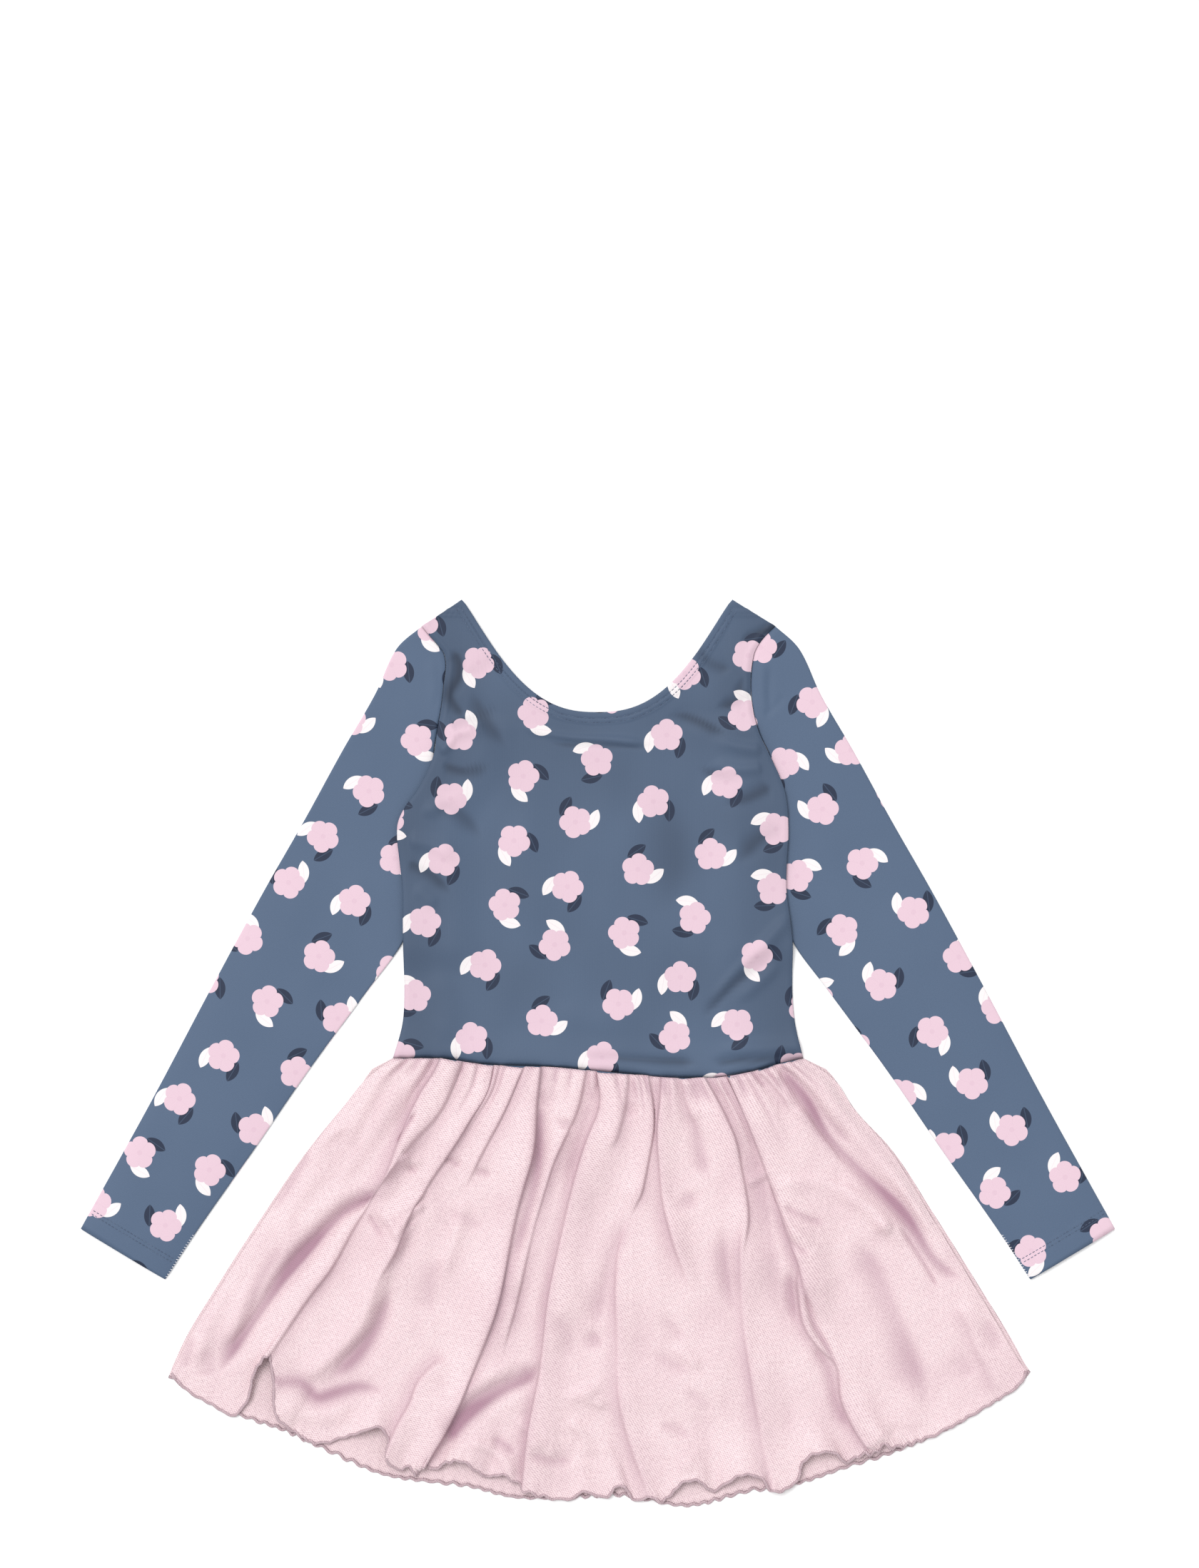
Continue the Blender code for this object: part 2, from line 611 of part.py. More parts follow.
def build_sleeve(name, side, collection):
    """A sleeve is a tube pressed flat, its under wall on the table, open at armhole and cuff."""
    plan, across, down = sleeve_plan(side)
    puff = SLEEVE_PUFF * smooth_step(down, 0.28, 0.5)[:, None] * (1.0 - (2.0 * across - 1.0) ** 4)
    from_cuff = np.linalg.norm(plan - plan[-1:], axis=2)
    hem = CUFF_HEM_RISE * smooth_step(from_cuff, CUFF_HEM_DEPTH + 2.0, CUFF_HEM_DEPTH)
    top_height = SLEEVE_FLAT + puff + hem

    walls = plan.copy()
    walls[:, 0] += SLEEVE_EDGE_INSET * right_of(plan[:, 0])
    walls[:, -1] -= SLEEVE_EDGE_INSET * right_of(plan[:, -1])

    def lifted(points, height):
        return np.concatenate((points * (side, 1.0), height[..., None]), axis=-1)

    half = top_height / 2.0
    outer_nose = lifted(plan[:, :1], half[:, :1])
    inner_nose = lifted(plan[:, -1:], half[:, -1:])
    upper = lifted(walls, top_height)
    under = lifted(walls, np.zeros(top_height.shape))
    rings = np.concatenate((outer_nose, upper, inner_nose, under[:, ::-1]), axis=1)
    if side > 0:
        rings = rings[:, ::-1]
    return rolled_sheet(name, rings, SLATE_KNIT, collection)


def build_skirt(collection):
    """Back layer flat on the table; front layer over the brief, in folds, with a waved hem."""
    back_plan, _, _ = skirt_plan(SKIRT_BACK_COLUMNS, SKIRT_BACK_ROWS, 0.0)
    flat = np.zeros(back_plan.shape[:-1])
    back = sheet("skirt_back", back_plan, flat, PINK_MESH_KNIT, collection)

    plan, across, down = skirt_plan(SKIRT_COLUMNS, SKIRT_ROWS, FRONT_INSET)
    hem = plan[-1].copy()
    retreat, lift = hem_waves(hem[:, 0])
    from_hem = plan[..., 1] - hem[None, :, 1]
    draw = np.maximum(1.0 - from_hem / HEM_DRAW_REACH, 0.0) ** 2
    plan[..., 1] += retreat[None, :] * draw
    hem_lift = lift[None, :] * np.exp(-((from_hem / HEM_LIFT_REACH) ** 2))

    puffed = smooth_step(down, 0.0, 0.16) * (1.0 - 0.8 * smooth_step(down, 0.72, 1.0))
    sides = np.sqrt(np.clip(4.0 * across * (1.0 - across), 0.0, 1.0))
    loft = SKIRT_LOFT * puffed[:, None] * sides[None, :]
    folds = fold_heights(plan, SKIRT_FOLDS, NARROWEST_FOLD, GATHER_SHARE)
    folds *= smooth_step(np.minimum(across, 1.0 - across), 0.0, 0.03)[None, :]
    rise = loft + folds
    rise = (rise + np.sqrt(rise ** 2 + 1.0)) / 2.0 + hem_lift
    heights = brief_support(plan) + rise
    front = sheet("skirt_front", plan, heights, PINK_MESH_KNIT, collection)
    return back, front


def build_brief(name, edge_name, level, collection):
    """One layer of the brief, plain, hanging from the waist seam inside the skirt."""
    drop = column(BRIEF_SECTIONS, "drop")
    half_width = column(BRIEF_SECTIONS, edge_name)
    across = np.linspace(-1.0, 1.0, BRIEF_COLUMNS + 1)
    x = half_width[:, None] * across
    share = (drop / BRIEF_LENGTH)[:, None]
    seam = seam_height(x) * (1.0 - share) + WAIST_SEAM[4].height * share
    plan = np.stack((x, seam - SEAM_GAP - drop[:, None]), axis=2)
    heights = np.full(x.shape, level)
    return sheet(name, plan, heights, SLATE_KNIT, collection)


def clear_scene():
    """Start from an empty scene."""
    for old in list(bpy.data.objects):
        bpy.data.objects.remove(old, do_unlink=True)


def main():
    """Build every piece of the garment in its own collection."""
    clear_scene()
    collection = bpy.data.collections.new("skirted_leotard")
    bpy.context.scene.collection.children.link(collection)
    build_bodice(collection)
    build_sleeve("sleeve_left", -1, collection)
    build_sleeve("sleeve_right", 1, collection)
    build_skirt(collection)
    build_brief("brief_back", "back", LAYER, collection)
    build_brief("brief_front", "front", 2 * LAYER, collection)


main()
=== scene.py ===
# %% [markdown]
# A child's long-sleeved leotard with a skirt lies flat on its back, front up, and is seen from
# straight above. The packed solids say where every layer of cloth lies. This lesson makes each
# layer again as a thin shell with its folds, seams, stitches and knit, in the same place.
# The tables are in millimetres, measured from the middle of the garment, and one function turns
# them into metres.

# %% Load the packed model
from collections import namedtuple

import bpy
import numpy as np
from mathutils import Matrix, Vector


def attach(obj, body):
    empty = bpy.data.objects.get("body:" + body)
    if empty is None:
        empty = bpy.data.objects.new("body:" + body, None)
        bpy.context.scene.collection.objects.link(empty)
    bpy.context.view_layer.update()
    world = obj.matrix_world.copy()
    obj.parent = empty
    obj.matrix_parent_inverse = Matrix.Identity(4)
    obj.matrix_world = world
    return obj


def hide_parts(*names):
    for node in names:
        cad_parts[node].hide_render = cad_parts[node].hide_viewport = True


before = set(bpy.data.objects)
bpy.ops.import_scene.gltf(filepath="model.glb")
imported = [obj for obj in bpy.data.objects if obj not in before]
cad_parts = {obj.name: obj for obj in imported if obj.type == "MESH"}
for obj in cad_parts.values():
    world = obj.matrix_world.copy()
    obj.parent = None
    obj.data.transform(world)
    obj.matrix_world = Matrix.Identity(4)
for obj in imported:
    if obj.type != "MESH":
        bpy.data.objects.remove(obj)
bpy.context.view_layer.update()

MM = 0.001
BOX_MIDDLE = (-0.9, 0.5)

# %% [markdown]
# The photograph was taken from straight above, so the camera looks straight down with the neck at
# the top. Its lens and height give a frame a little over a metre tall, as in the photograph. A
# long lens from high up keeps the sleeves from leaning outwards.

# %% Camera
CAMERA_HEIGHT = 2.44
FRAME_HEIGHT = 1.0326
LOOK_AT = (1.1, 176.7)
SENSOR = 36.0

camera_lens = bpy.data.cameras.new("camera")
camera_lens.sensor_width = SENSOR
camera_lens.lens = SENSOR * CAMERA_HEIGHT / FRAME_HEIGHT
camera = bpy.data.objects.new("camera", camera_lens)
camera.location = (LOOK_AT[0] * MM, LOOK_AT[1] * MM, CAMERA_HEIGHT)
bpy.context.scene.collection.objects.link(camera)
bpy.context.scene.camera = camera
bpy.context.scene.view_settings.view_transform = "Standard"
print("lens in mm:", round(camera_lens.lens, 1))

# %% [markdown]
# Product pictures of clothes are lit very softly, so that folds show but no hard shadow falls.
# A white sky does most of the work, and one broad far light from the upper left gives the folds
# their light and dark sides. A far light is as bright at the cuffs as at the neck.

# %% Light
SKY_STRENGTH = 0.84
LAMP_STRENGTH = 2.0
LAMP_BREADTH = 34.0
LAMP_DIRECTION = (0.36, -0.42, -1.0)

world = bpy.data.worlds.new("white sky")
world.use_nodes = True
sky = world.node_tree.nodes["Background"].inputs
sky["Color"].default_value = (1.0, 1.0, 1.0, 1.0)
sky["Strength"].default_value = SKY_STRENGTH
bpy.context.scene.world = world

lamp_data = bpy.data.lights.new("soft far light", "SUN")
lamp_data.energy = LAMP_STRENGTH
lamp_data.angle = np.radians(LAMP_BREADTH)
lamp = bpy.data.objects.new("soft far light", lamp_data)
lamp.rotation_euler = Vector(LAMP_DIRECTION).to_track_quat("-Z", "Y").to_euler()
bpy.context.scene.collection.objects.link(lamp)
print("light falls along", LAMP_DIRECTION)

# %% [markdown]
# A few small tools serve every piece. A smooth step eases from one value to another, a spline
# runs through a table, and a curve runs through points in the plane. Writing them for whole
# arrays keeps each shape a single formula.

# %% Curves and steps
FINENESS = 6


def smooth_step(value, start, end):
    """Rise from 0 at start to 1 at end with level ends: three shares squared less two cubed."""
    share = np.clip((value - start) / (end - start), 0.0, 1.0)
    return share * share * (3.0 - 2.0 * share)


def spline(knots, values, places):
    """A smooth curve through (knot, value) pairs: a cubic between each two, with shared slopes."""
    knots, values = np.asarray(knots, float), np.asarray(values, float)
    slopes = np.gradient(values, knots)
    index = np.clip(np.searchsorted(knots, places) - 1, 0, len(knots) - 2)
    width = knots[index + 1] - knots[index]
    share = (places - knots[index]) / width
    square, cube = share ** 2, share ** 3
    return (
        (2 * cube - 3 * square + 1) * values[index]
        + (cube - 2 * square + share) * width * slopes[index]
        + (3 * square - 2 * cube) * values[index + 1]
        + (cube - square) * width * slopes[index + 1]
    )


def lengths(points):
    """Distance travelled along a line of points at each of them."""
    steps = np.linalg.norm(np.diff(points, axis=0), axis=1)
    return np.concatenate(([0.0], np.cumsum(steps)))


def spline_points(knots, points, places):
    """Points of a smooth curve: a spline through each coordinate, read off at the places."""
    return np.stack([spline(knots, values, places) for values in points.T], axis=-1)


def points_at(places, travelled, line):
    """Points at given distances along a line, on the straight between its nearest two."""
    return np.stack([np.interp(places, travelled, values) for values in line.T], axis=-1)


def curve_through(points, count):
    """count points at even steps along a smooth curve through the given ones."""
    points = np.asarray(points, float)
    knots = lengths(points)
    dense = spline_points(knots, points, np.linspace(0.0, knots[-1], FINENESS * count))
    travelled = lengths(dense)
    return points_at(np.linspace(0.0, travelled[-1], count), travelled, dense)


def crowd(share, amount):
    """Even shares from 0 to 1 drawn towards both ends: each less a sine wave of one turn."""
    return share - amount * np.sin(2 * np.pi * share) / (2 * np.pi)


def column(rows, name):
    """One named column of a table as an array."""
    return np.array([getattr(row, name) for row in rows], float)


def placed(points):
    """Points of the tables, in metres from the middle of the garment's box."""
    return (np.asarray(points, float) - (*BOX_MIDDLE, 0.0)) * MM


def lifted(plan, height):
    """Points of the plan with their height as a third number."""
    return np.concatenate((plan, height[..., None]), axis=-1)


def right_of(line):
    """The direction square to a line, to its right, at each of its points."""
    step = np.gradient(line, axis=0)
    normal = np.stack((step[:, 1], -step[:, 0]), axis=1)
    return normal / np.linalg.norm(normal, axis=1)[:, None]


print("half way up a smooth step:", smooth_step(0.5, 0.0, 1.0))

# %% [markdown]
# Small uneven swells keep a surface from looking ruled. A handful of sine waves of different
# lengths and directions, added up, gives a swell that never repeats within the garment, and a
# fixed seed makes it the same each time.

# %% Uneven swells
SWELL_POWER = 0.6
SWELL_DIVISOR = 1.6


def swell(x, y, seed, longest, shortest, count=9):
    """A sum of sine waves between two wavelengths, in turned directions, about 1 high at most.

    Each wave is as high as its share of the longest to the power 0.6, and the sum is divided by
    the root of their count.
    """
    dice = np.random.default_rng(seed)
    total = np.zeros(np.broadcast(x, y).shape)
    for turn, wave, start in zip(
        dice.uniform(0.0, 2 * np.pi, count),
        np.geomspace(longest, shortest, count),
        dice.uniform(0.0, 2 * np.pi, count),
    ):
        run = (x * np.cos(turn) + y * np.sin(turn)) * 2 * np.pi / wave
        total = total + np.sin(run + start) * (wave / longest) ** SWELL_POWER
    return total / count ** 0.5 / SWELL_DIVISOR


print("a swell at the origin:", round(float(swell(0.0, 0.0, 3, 60.0, 12.0)), 3))

# %% [markdown]
# Every layer of cloth is a grid of points joined into quads. The quads turn anticlockwise seen
# from above when the rows run down the garment and the columns to the right, so that faces point
# up. Each corner also gets its place on the flat cloth, in millimetres, in a map named cut, so
# that print and knit follow the cloth.

# %% Grids of cloth
def grid_faces(rows, columns, wrap=False):
    """Quads between neighbouring rows and columns, by point number."""
    row, left = np.meshgrid(
        np.arange(rows - 1), np.arange(columns if wrap else columns - 1), indexing="ij"
    )
    right = (left + 1) % columns
    corners = (row * columns + left, (row + 1) * columns + left,
               (row + 1) * columns + right, row * columns + right)
    return np.stack(corners, axis=-1).reshape(-1, 4)


def corner_values(values):
    """The values of a grid, with a last column for a wrapped one, at each quad's corners."""
    corners = (values[:-1, :-1], values[1:, :-1], values[1:, 1:], values[:-1, 1:])
    return np.stack(corners, axis=2).reshape(-1, 2)


def link_mesh(name, vertices, faces, material):
    """A mesh object with its place in its mesh, shaded smooth."""
    mesh = bpy.data.meshes.new(name)
    mesh.from_pydata(vertices.tolist(), [], faces.tolist() if hasattr(faces, "tolist") else faces)
    mesh.materials.append(material)
    mesh.shade_smooth()
    piece = bpy.data.objects.new(name, mesh)
    bpy.context.scene.collection.objects.link(piece)
    return piece


def cloth(name, points, cut, material, thickness, offset, wrap=False):
    """A shell of cloth from a grid of points in mm and a grid of places on the flat cloth."""
    rows, columns = points.shape[:2]
    piece = link_mesh(
        name, placed(points).reshape(-1, 3), grid_faces(rows, columns, wrap), material
    )
    cut_map = piece.data.uv_layers.new(name="cut")
    cut_map.data.foreach_set("uv", corner_values(cut).ravel().astype(np.float32))
    wall = piece.modifiers.new("thickness", "SOLIDIFY")
    wall.thickness = thickness * MM
    wall.offset = offset
    print(f"{name}: {rows} rows of {columns} points")
    return piece


def mark(piece, **marks):
    """Give a cloth's points named numbers between 0 and 1, for its finish to read."""
    for name, values in marks.items():
        value_map = piece.data.attributes.new(name, "FLOAT", "POINT")
        value_map.data.foreach_set("value", np.clip(values, 0.0, 1.0).ravel().astype(np.float32))


print("quads of a grid of 3 rows and 4 columns:", len(grid_faces(3, 4)))

# %% [markdown]
# Rolled hems, threads and stitches are thin round things. A tube carries a small ring along a
# path, square to it, and closes both ends. A row of stitches is one small capsule set down many
# times in a single mesh, so that hundreds of them stay cheap.

# %% Tubes and stitches
TUBE_GIRTH = 5.6


def tube(name, path, across, up, material, around=8):
    """A closed tube along the path: a ring square to it, wide by across and high by up."""
    path = np.asarray(path, float)
    run = np.gradient(path, axis=0)
    run /= np.linalg.norm(run, axis=1)[:, None]
    side = np.cross(run, (0.0, 0.0, 1.0))
    side /= np.linalg.norm(side, axis=1)[:, None]
    rise = np.cross(side, run)
    turn = np.linspace(0.0, 2 * np.pi, around, endpoint=False)[None, :, None]
    across = np.broadcast_to(across, len(path))[:, None, None]
    up = np.broadcast_to(up, len(path))[:, None, None]
    rings = (path[:, None] + across * np.cos(turn) * side[:, None]
             + up * np.sin(turn) * rise[:, None])
    faces = grid_faces(len(path), around, True)[:, ::-1].tolist()
    last = (len(path) - 1) * around
    faces.append(list(range(around)))
    faces.append(list(range(last + around - 1, last - 1, -1)))
    piece = link_mesh(name, placed(rings).reshape(-1, 3), faces, material)
    rows = np.broadcast_to(lengths(path)[:, None], (len(path), around + 1))
    girth = np.broadcast_to(np.linspace(0.0, TUBE_GIRTH, around + 1), rows.shape)
    flat = np.stack((rows, girth), axis=2)
    caps = np.zeros((2 * around, 2))
    cut_map = piece.data.uv_layers.new(name="cut")
    walls = corner_values(flat).reshape(-1, 4, 2)[:, ::-1].reshape(-1, 2)
    cut_map.data.foreach_set("uv", np.concatenate((walls, caps)).ravel().astype(np.float32))
    return piece


CAPSULE_SIDES = 6
CAPSULE_ALONG = np.array((-0.5, -0.44, -0.25, 0.25, 0.44, 0.5))
CAPSULE_ROUND = np.array((0.0, 0.7, 1.0, 1.0, 0.7, 0.0))
CAPSULE_SINK = 0.6
CAPSULE_WELD = 0.004


def stitches(name, centres, along, length, radius, material):
    """Capsules with rounded ends, one at each centre, lying along its direction.

    Each bows up by one less the square of its place from the middle, and its ends sink in.
    """
    along = along / np.linalg.norm(along, axis=1)[:, None]
    side = np.cross(along, (0.0, 0.0, 1.0))
    side /= np.linalg.norm(side, axis=1)[:, None]
    rise = np.cross(side, along)
    turn = np.linspace(0.0, 2 * np.pi, CAPSULE_SIDES, endpoint=False)
    ring = np.stack((np.cos(turn), np.sin(turn)), axis=1)
    bend = 1.0 - (2.0 * CAPSULE_ALONG) ** 2
    rings = (
        centres[:, None, None]
        + (length * CAPSULE_ALONG)[None, :, None, None] * along[:, None, None]
        + radius * (bend - CAPSULE_SINK)[None, :, None, None] * rise[:, None, None]
        + radius * CAPSULE_ROUND[None, :, None, None] * (
            ring[None, None, :, :1] * side[:, None, None]
            + ring[None, None, :, 1:] * rise[:, None, None]
        )
    )
    each = len(CAPSULE_ALONG) * CAPSULE_SIDES
    walls = grid_faces(len(CAPSULE_ALONG), CAPSULE_SIDES, True)[:, ::-1]
    faces = (np.arange(len(centres))[:, None, None] * each + walls[None]).reshape(-1, 4)
    piece = link_mesh(name, placed(rings).reshape(-1, 3), faces, material)
    weld = piece.modifiers.new("closed ends", "WELD")
    weld.merge_threshold = CAPSULE_WELD * MM
    print(f"{name}: {len(centres)} stitches")
    return piece


print("corners of one stitch:", len(CAPSULE_ALONG) * CAPSULE_SIDES)

# %% [markdown]
# A finish is a small graph of nodes. To write its sums as ordinary sums, a wire wraps a socket
# and knows what plus, minus, times and divide mean: each adds one Math node. Colours are blended
# by Mix nodes, which keep all three channels.

# %% Wires for materials
class Wire:
    """A number, colour or vector on its way through a finish."""

    def __init__(self, finish, socket):
        self.finish, self.socket = finish, socket

    def math(self, operation, *others):
        return self.finish.node("ShaderNodeMath", {"operation": operation}, self, *others)

    def __add__(self, other): return self.math("ADD", other)
    def __mul__(self, other): return self.math("MULTIPLY", other)
    def __sub__(self, other): return self.math("SUBTRACT", other)
    def __truediv__(self, other): return self.math("DIVIDE", other)
    def __rsub__(self, other): return self.finish.value(other).math("SUBTRACT", self)
    __radd__, __rmul__ = __add__, __mul__

    def between(self, low, high):
        """0 at low, 1 at high, eased."""
        settings = {"interpolation_type": "SMOOTHSTEP"}
        return self.finish.node("ShaderNodeMapRange", settings, self, low, high, 0.0, 1.0)


class Finish:
    """A material under construction, with its surface shader at hand."""

    def __init__(self, name, roughness):
        self.material = bpy.data.materials.new(name)
        self.material.use_nodes = True
        self.tree = self.material.node_tree
        self.shader = self.tree.nodes["Principled BSDF"]
        self.shader.inputs["Roughness"].default_value = roughness

    def fill(self, socket, value):
        """Link a wire to a socket, or set the socket to a plain value."""
        if isinstance(value, Wire):
            self.tree.links.new(value.socket, socket)
        else:
            socket.default_value = value

    def node(self, kind, settings, *values, out=0, **named):
        """Add a node: its settings first, then its sockets by order or by name."""
        made = self.tree.nodes.new(kind)
        for name, value in settings.items():
            setattr(made, name, value)
        for socket, value in zip(made.inputs, values):
            self.fill(socket, value)
        for name, value in named.items():
            self.fill(made.inputs[name.replace("_", " ")], value)
        return Wire(self, made.outputs[out])

    def value(self, number):
        """A plain number as a wire, so that it can stand first in a sum."""
        return self.node("ShaderNodeMath", {"operation": "ADD"}, number, 0.0)

    def mix(self, share, first, second):
        """first where share is 0, second where it is 1."""
        made = self.tree.nodes.new("ShaderNodeMix")
        made.data_type = "RGBA"
        for socket, value in zip((made.inputs[0], made.inputs[6], made.inputs[7]),
                                 (share, first, second)):
            self.fill(socket, value)
        return Wire(self, made.outputs[2])

    def noise(self, place, scale, detail=2.0):
        """Soft patches between 0 and 1, about one over scale across."""
        return self.node("ShaderNodeTexNoise", {}, place, Scale=scale, Detail=detail)

    def marked(self, name):
        """A named number that the cloth's points carry."""
        return self.node("ShaderNodeAttribute", {"attribute_name": name}, out=2)

    def cut(self):
        """The place on the flat cloth in mm, as a vector and as its two numbers."""
        place = self.node("ShaderNodeUVMap", {"uv_map": "cut"})
        split = self.tree.nodes.new("ShaderNodeSeparateXYZ")
        self.fill(split.inputs[0], place)
        return place, Wire(self, split.outputs[0]), Wire(self, split.outputs[1])

    def done(self, colour, height=None, depth=0.1, rough=None):
        """Connect colour, bump height in mm of depth and roughness to the surface."""
        self.fill(self.shader.inputs["Base Color"], colour)
        if rough is not None:
            self.fill(self.shader.inputs["Roughness"], rough)
        if height is not None:
            bump = self.node("ShaderNodeBump", {}, Strength=1.0, Distance=depth * MM,
                             Height=height)
            self.fill(self.shader.inputs["Normal"], bump)
        print("finish:", self.material.name, len(self.tree.nodes), "nodes")
        return self.material


print("tools of a finish:", [name for name in vars(Finish) if name[0] != "_"])

# %% [markdown]
# The bodice, the sleeves and the brief are one smooth stretch knit in slate blue. Its print is
# small pink blossoms, each with a white and a navy leaf. Here the print is a plain one of our
# own: a tilted lattice whose every other column is half a step lower gives each cell one motif,
# and white noise on the cell's number shifts and turns it. A blossom is five scallops round a
# centre, and a leaf is where two circles overlap. Painted shade makes the knit a shade deeper in
# the creases, at the sides and under the neck of the bodice's front, and to a lesser degree the
# print on it.

# %% Slate knit with its print
SLATE = (0.060, 0.095, 0.159, 1.0)
SLATE_LIGHT = (0.076, 0.115, 0.187, 1.0)
SLATE_PAINTED_SHADE = (0.018, 0.030, 0.056, 1.0)
BLOSSOM = (0.64, 0.465, 0.54, 1.0)
BLOSSOM_LINE = (0.52, 0.34, 0.43, 1.0)
LEAF_WHITE = (0.74, 0.70, 0.705, 1.0)
LEAF_NAVY = (0.010, 0.019, 0.046, 1.0)
CELL_WIDE = 43.0
CELL_TALL = 43.4
PRINT_TURN = 0.2
PRINT_SHIFT = 9.0
PRINT_EDGE = 0.12
PETAL_REACH = 8.3
PETAL_LOBE = 2.4
PETAL_POWER = 0.6
WHITE_LEAF = ((9.4, 7.8), 1.75)
NAVY_LEAF = ((-11.0, 5.2), 1.64)
LEAF_HALF_LONG = 7.3
LEAF_HALF_WIDE = 3.6
WALE_PITCH = 0.8
COURSE_PITCH = 0.62


def leaf(x, y, middle, turn):
    """1 inside a pointed oval, the overlap of two circles, set at middle and turned."""
    radius = (LEAF_HALF_LONG ** 2 + LEAF_HALF_WIDE ** 2) / (2.0 * LEAF_HALF_WIDE)
    from_x, from_y = x - middle[0], y - middle[1]
    along = from_x * np.cos(turn) + from_y * np.sin(turn)
    across = from_y * np.cos(turn) - from_x * np.sin(turn)
    beyond = across.math("ABSOLUTE") + (radius - LEAF_HALF_WIDE)
    reach = (along * along + beyond * beyond).math("SQRT")
    return (radius - reach).between(-PRINT_EDGE, PRINT_EDGE), across


def rib(side, inside):
    """A thin line down the middle of a leaf."""
    return (1.0 - side.math("ABSOLUTE").between(0.1, 0.35)) * inside


def slate_knit():
    """The printed knit: slate with painted shade, leaves, blossoms, more painted shade, the fine
    knit's relief.
    """
    finish = Finish("slate knit", 0.62)
    place, across, down = finish.cut()
    wide = (across * np.cos(PRINT_TURN) - down * np.sin(PRINT_TURN)) / CELL_WIDE
    column_number = wide.math("FLOOR")
    tall = (down * np.cos(PRINT_TURN) + across * np.sin(PRINT_TURN)) / CELL_TALL
    tall = tall + column_number.math("MODULO", 2.0) * 0.5
    row_number = tall.math("FLOOR")
    cell = finish.node("ShaderNodeCombineXYZ", {}, column_number, row_number, 0.0)
    chance = finish.node("ShaderNodeTexWhiteNoise", {"noise_dimensions": "3D"}, cell, out=1)
    split = finish.tree.nodes.new("ShaderNodeSeparateColor")
    finish.fill(split.inputs[0], chance)
    chances = [Wire(finish, split.outputs[index]) for index in range(3)]
    x = (wide - column_number - 0.5) * CELL_WIDE - (chances[0] - 0.5) * PRINT_SHIFT
    y = (tall - row_number - 0.5) * CELL_TALL - (chances[1] - 0.5) * PRINT_SHIFT
    turn = chances[2] * (2 * np.pi)
    cosine, sine = turn.math("COSINE"), turn.math("SINE")
    x, y = x * cosine + y * sine, y * cosine - x * sine

    angle = y.math("ARCTAN2", x)
    lobes = (angle * 2.5).math("COSINE").math("ABSOLUTE")
    out = (x * x + y * y).math("SQRT")
    petals = lobes.math("POWER", PETAL_POWER) * PETAL_LOBE + PETAL_REACH - out
    petals = petals.between(-PRINT_EDGE, PRINT_EDGE)
    veins = (1.0 - lobes.between(0.0, 0.10)) * out.between(1.5, 3.0)
    centre = 1.0 - out.between(1.5, 1.9)
    white, white_side = leaf(x, y, *WHITE_LEAF)
    navy, navy_side = leaf(x, y, *NAVY_LEAF)

    fleck = finish.noise(place, 0.9, 3.0)
    cloud = finish.noise(place, 0.016)
    hollow = finish.marked("hollow")
    colour = finish.mix((fleck * 0.7 + cloud * 0.6 - 0.15), SLATE, SLATE_LIGHT)
    # Painted shade: a deeper slate where the cloth's points say shade falls, before the print.
    colour = finish.mix(hollow, colour, SLATE_PAINTED_SHADE)
    colour = finish.mix(navy, colour, LEAF_NAVY)
    colour = finish.mix(rib(navy_side, navy) * 0.5, colour, SLATE)
    colour = finish.mix(white, colour, LEAF_WHITE)
    colour = finish.mix(rib(white_side, white) * 0.3, colour, BLOSSOM)
    colour = finish.mix(petals, colour, BLOSSOM)
    colour = finish.mix((veins + centre) * petals * 0.22, colour, BLOSSOM_LINE)
    # Painted shade again, at a smaller share, over the print as well.
    colour = finish.mix(hollow * 0.22, colour, SLATE_PAINTED_SHADE)

    wales = (across * (2 * np.pi / WALE_PITCH)).math("SINE")
    courses = (down * (2 * np.pi / COURSE_PITCH)).math("SINE")
    relief = wales * 0.5 + wales * courses * 0.3 + fleck
    finish.shader.inputs["Sheen Weight"].default_value = 0.12
    finish.shader.inputs["Sheen Roughness"].default_value = 0.4
    finish.shader.inputs["Specular IOR Level"].default_value = 0.35
    return finish.done(colour, relief, 0.03, 0.58 + fleck * 0.10)


SLATE_KNIT = slate_knit()

# %% [markdown]
# The skirt is a light knit in dusty pink whose face shows rows of tiny slanted dashes with a
# soft satin shine. Two sets of sine waves, one slanted against the other, make a dash where both
# are high. The dashes sit a little proud and catch the light, and the ground between them is a
# shade deeper. Painted shade, read from a named attribute, turns the pink deeper and more mauve
# in the troughs of the folds, beside the pleats, in the gathers and under the seam: it stands
# for the shade there and for light that crosses so thin a cloth more than once. A long soft
# noise in the relief stands for the faint rumples that packing leaves, and a second, folded at
# its middle value so that it has creases, shows where an attribute named rumpled says so.

# %% Pink mesh knit
PINK_FACE = (0.838, 0.664, 0.684, 1.0)
PINK_GROUND = (0.440, 0.290, 0.335, 1.0)
PINK_CLOUD = (0.796, 0.620, 0.646, 1.0)
PINK_PAINTED_SHADE = (0.375, 0.212, 0.278, 1.0)
DASH_PITCH = 1.5
DASH_ROW_SHARE = 0.8
DASH_DEPTH = 0.22
FLECK_DEPTH = 0.08
RUMPLE_DEPTH = 1.05
CRINKLE_DEPTH = 4.2


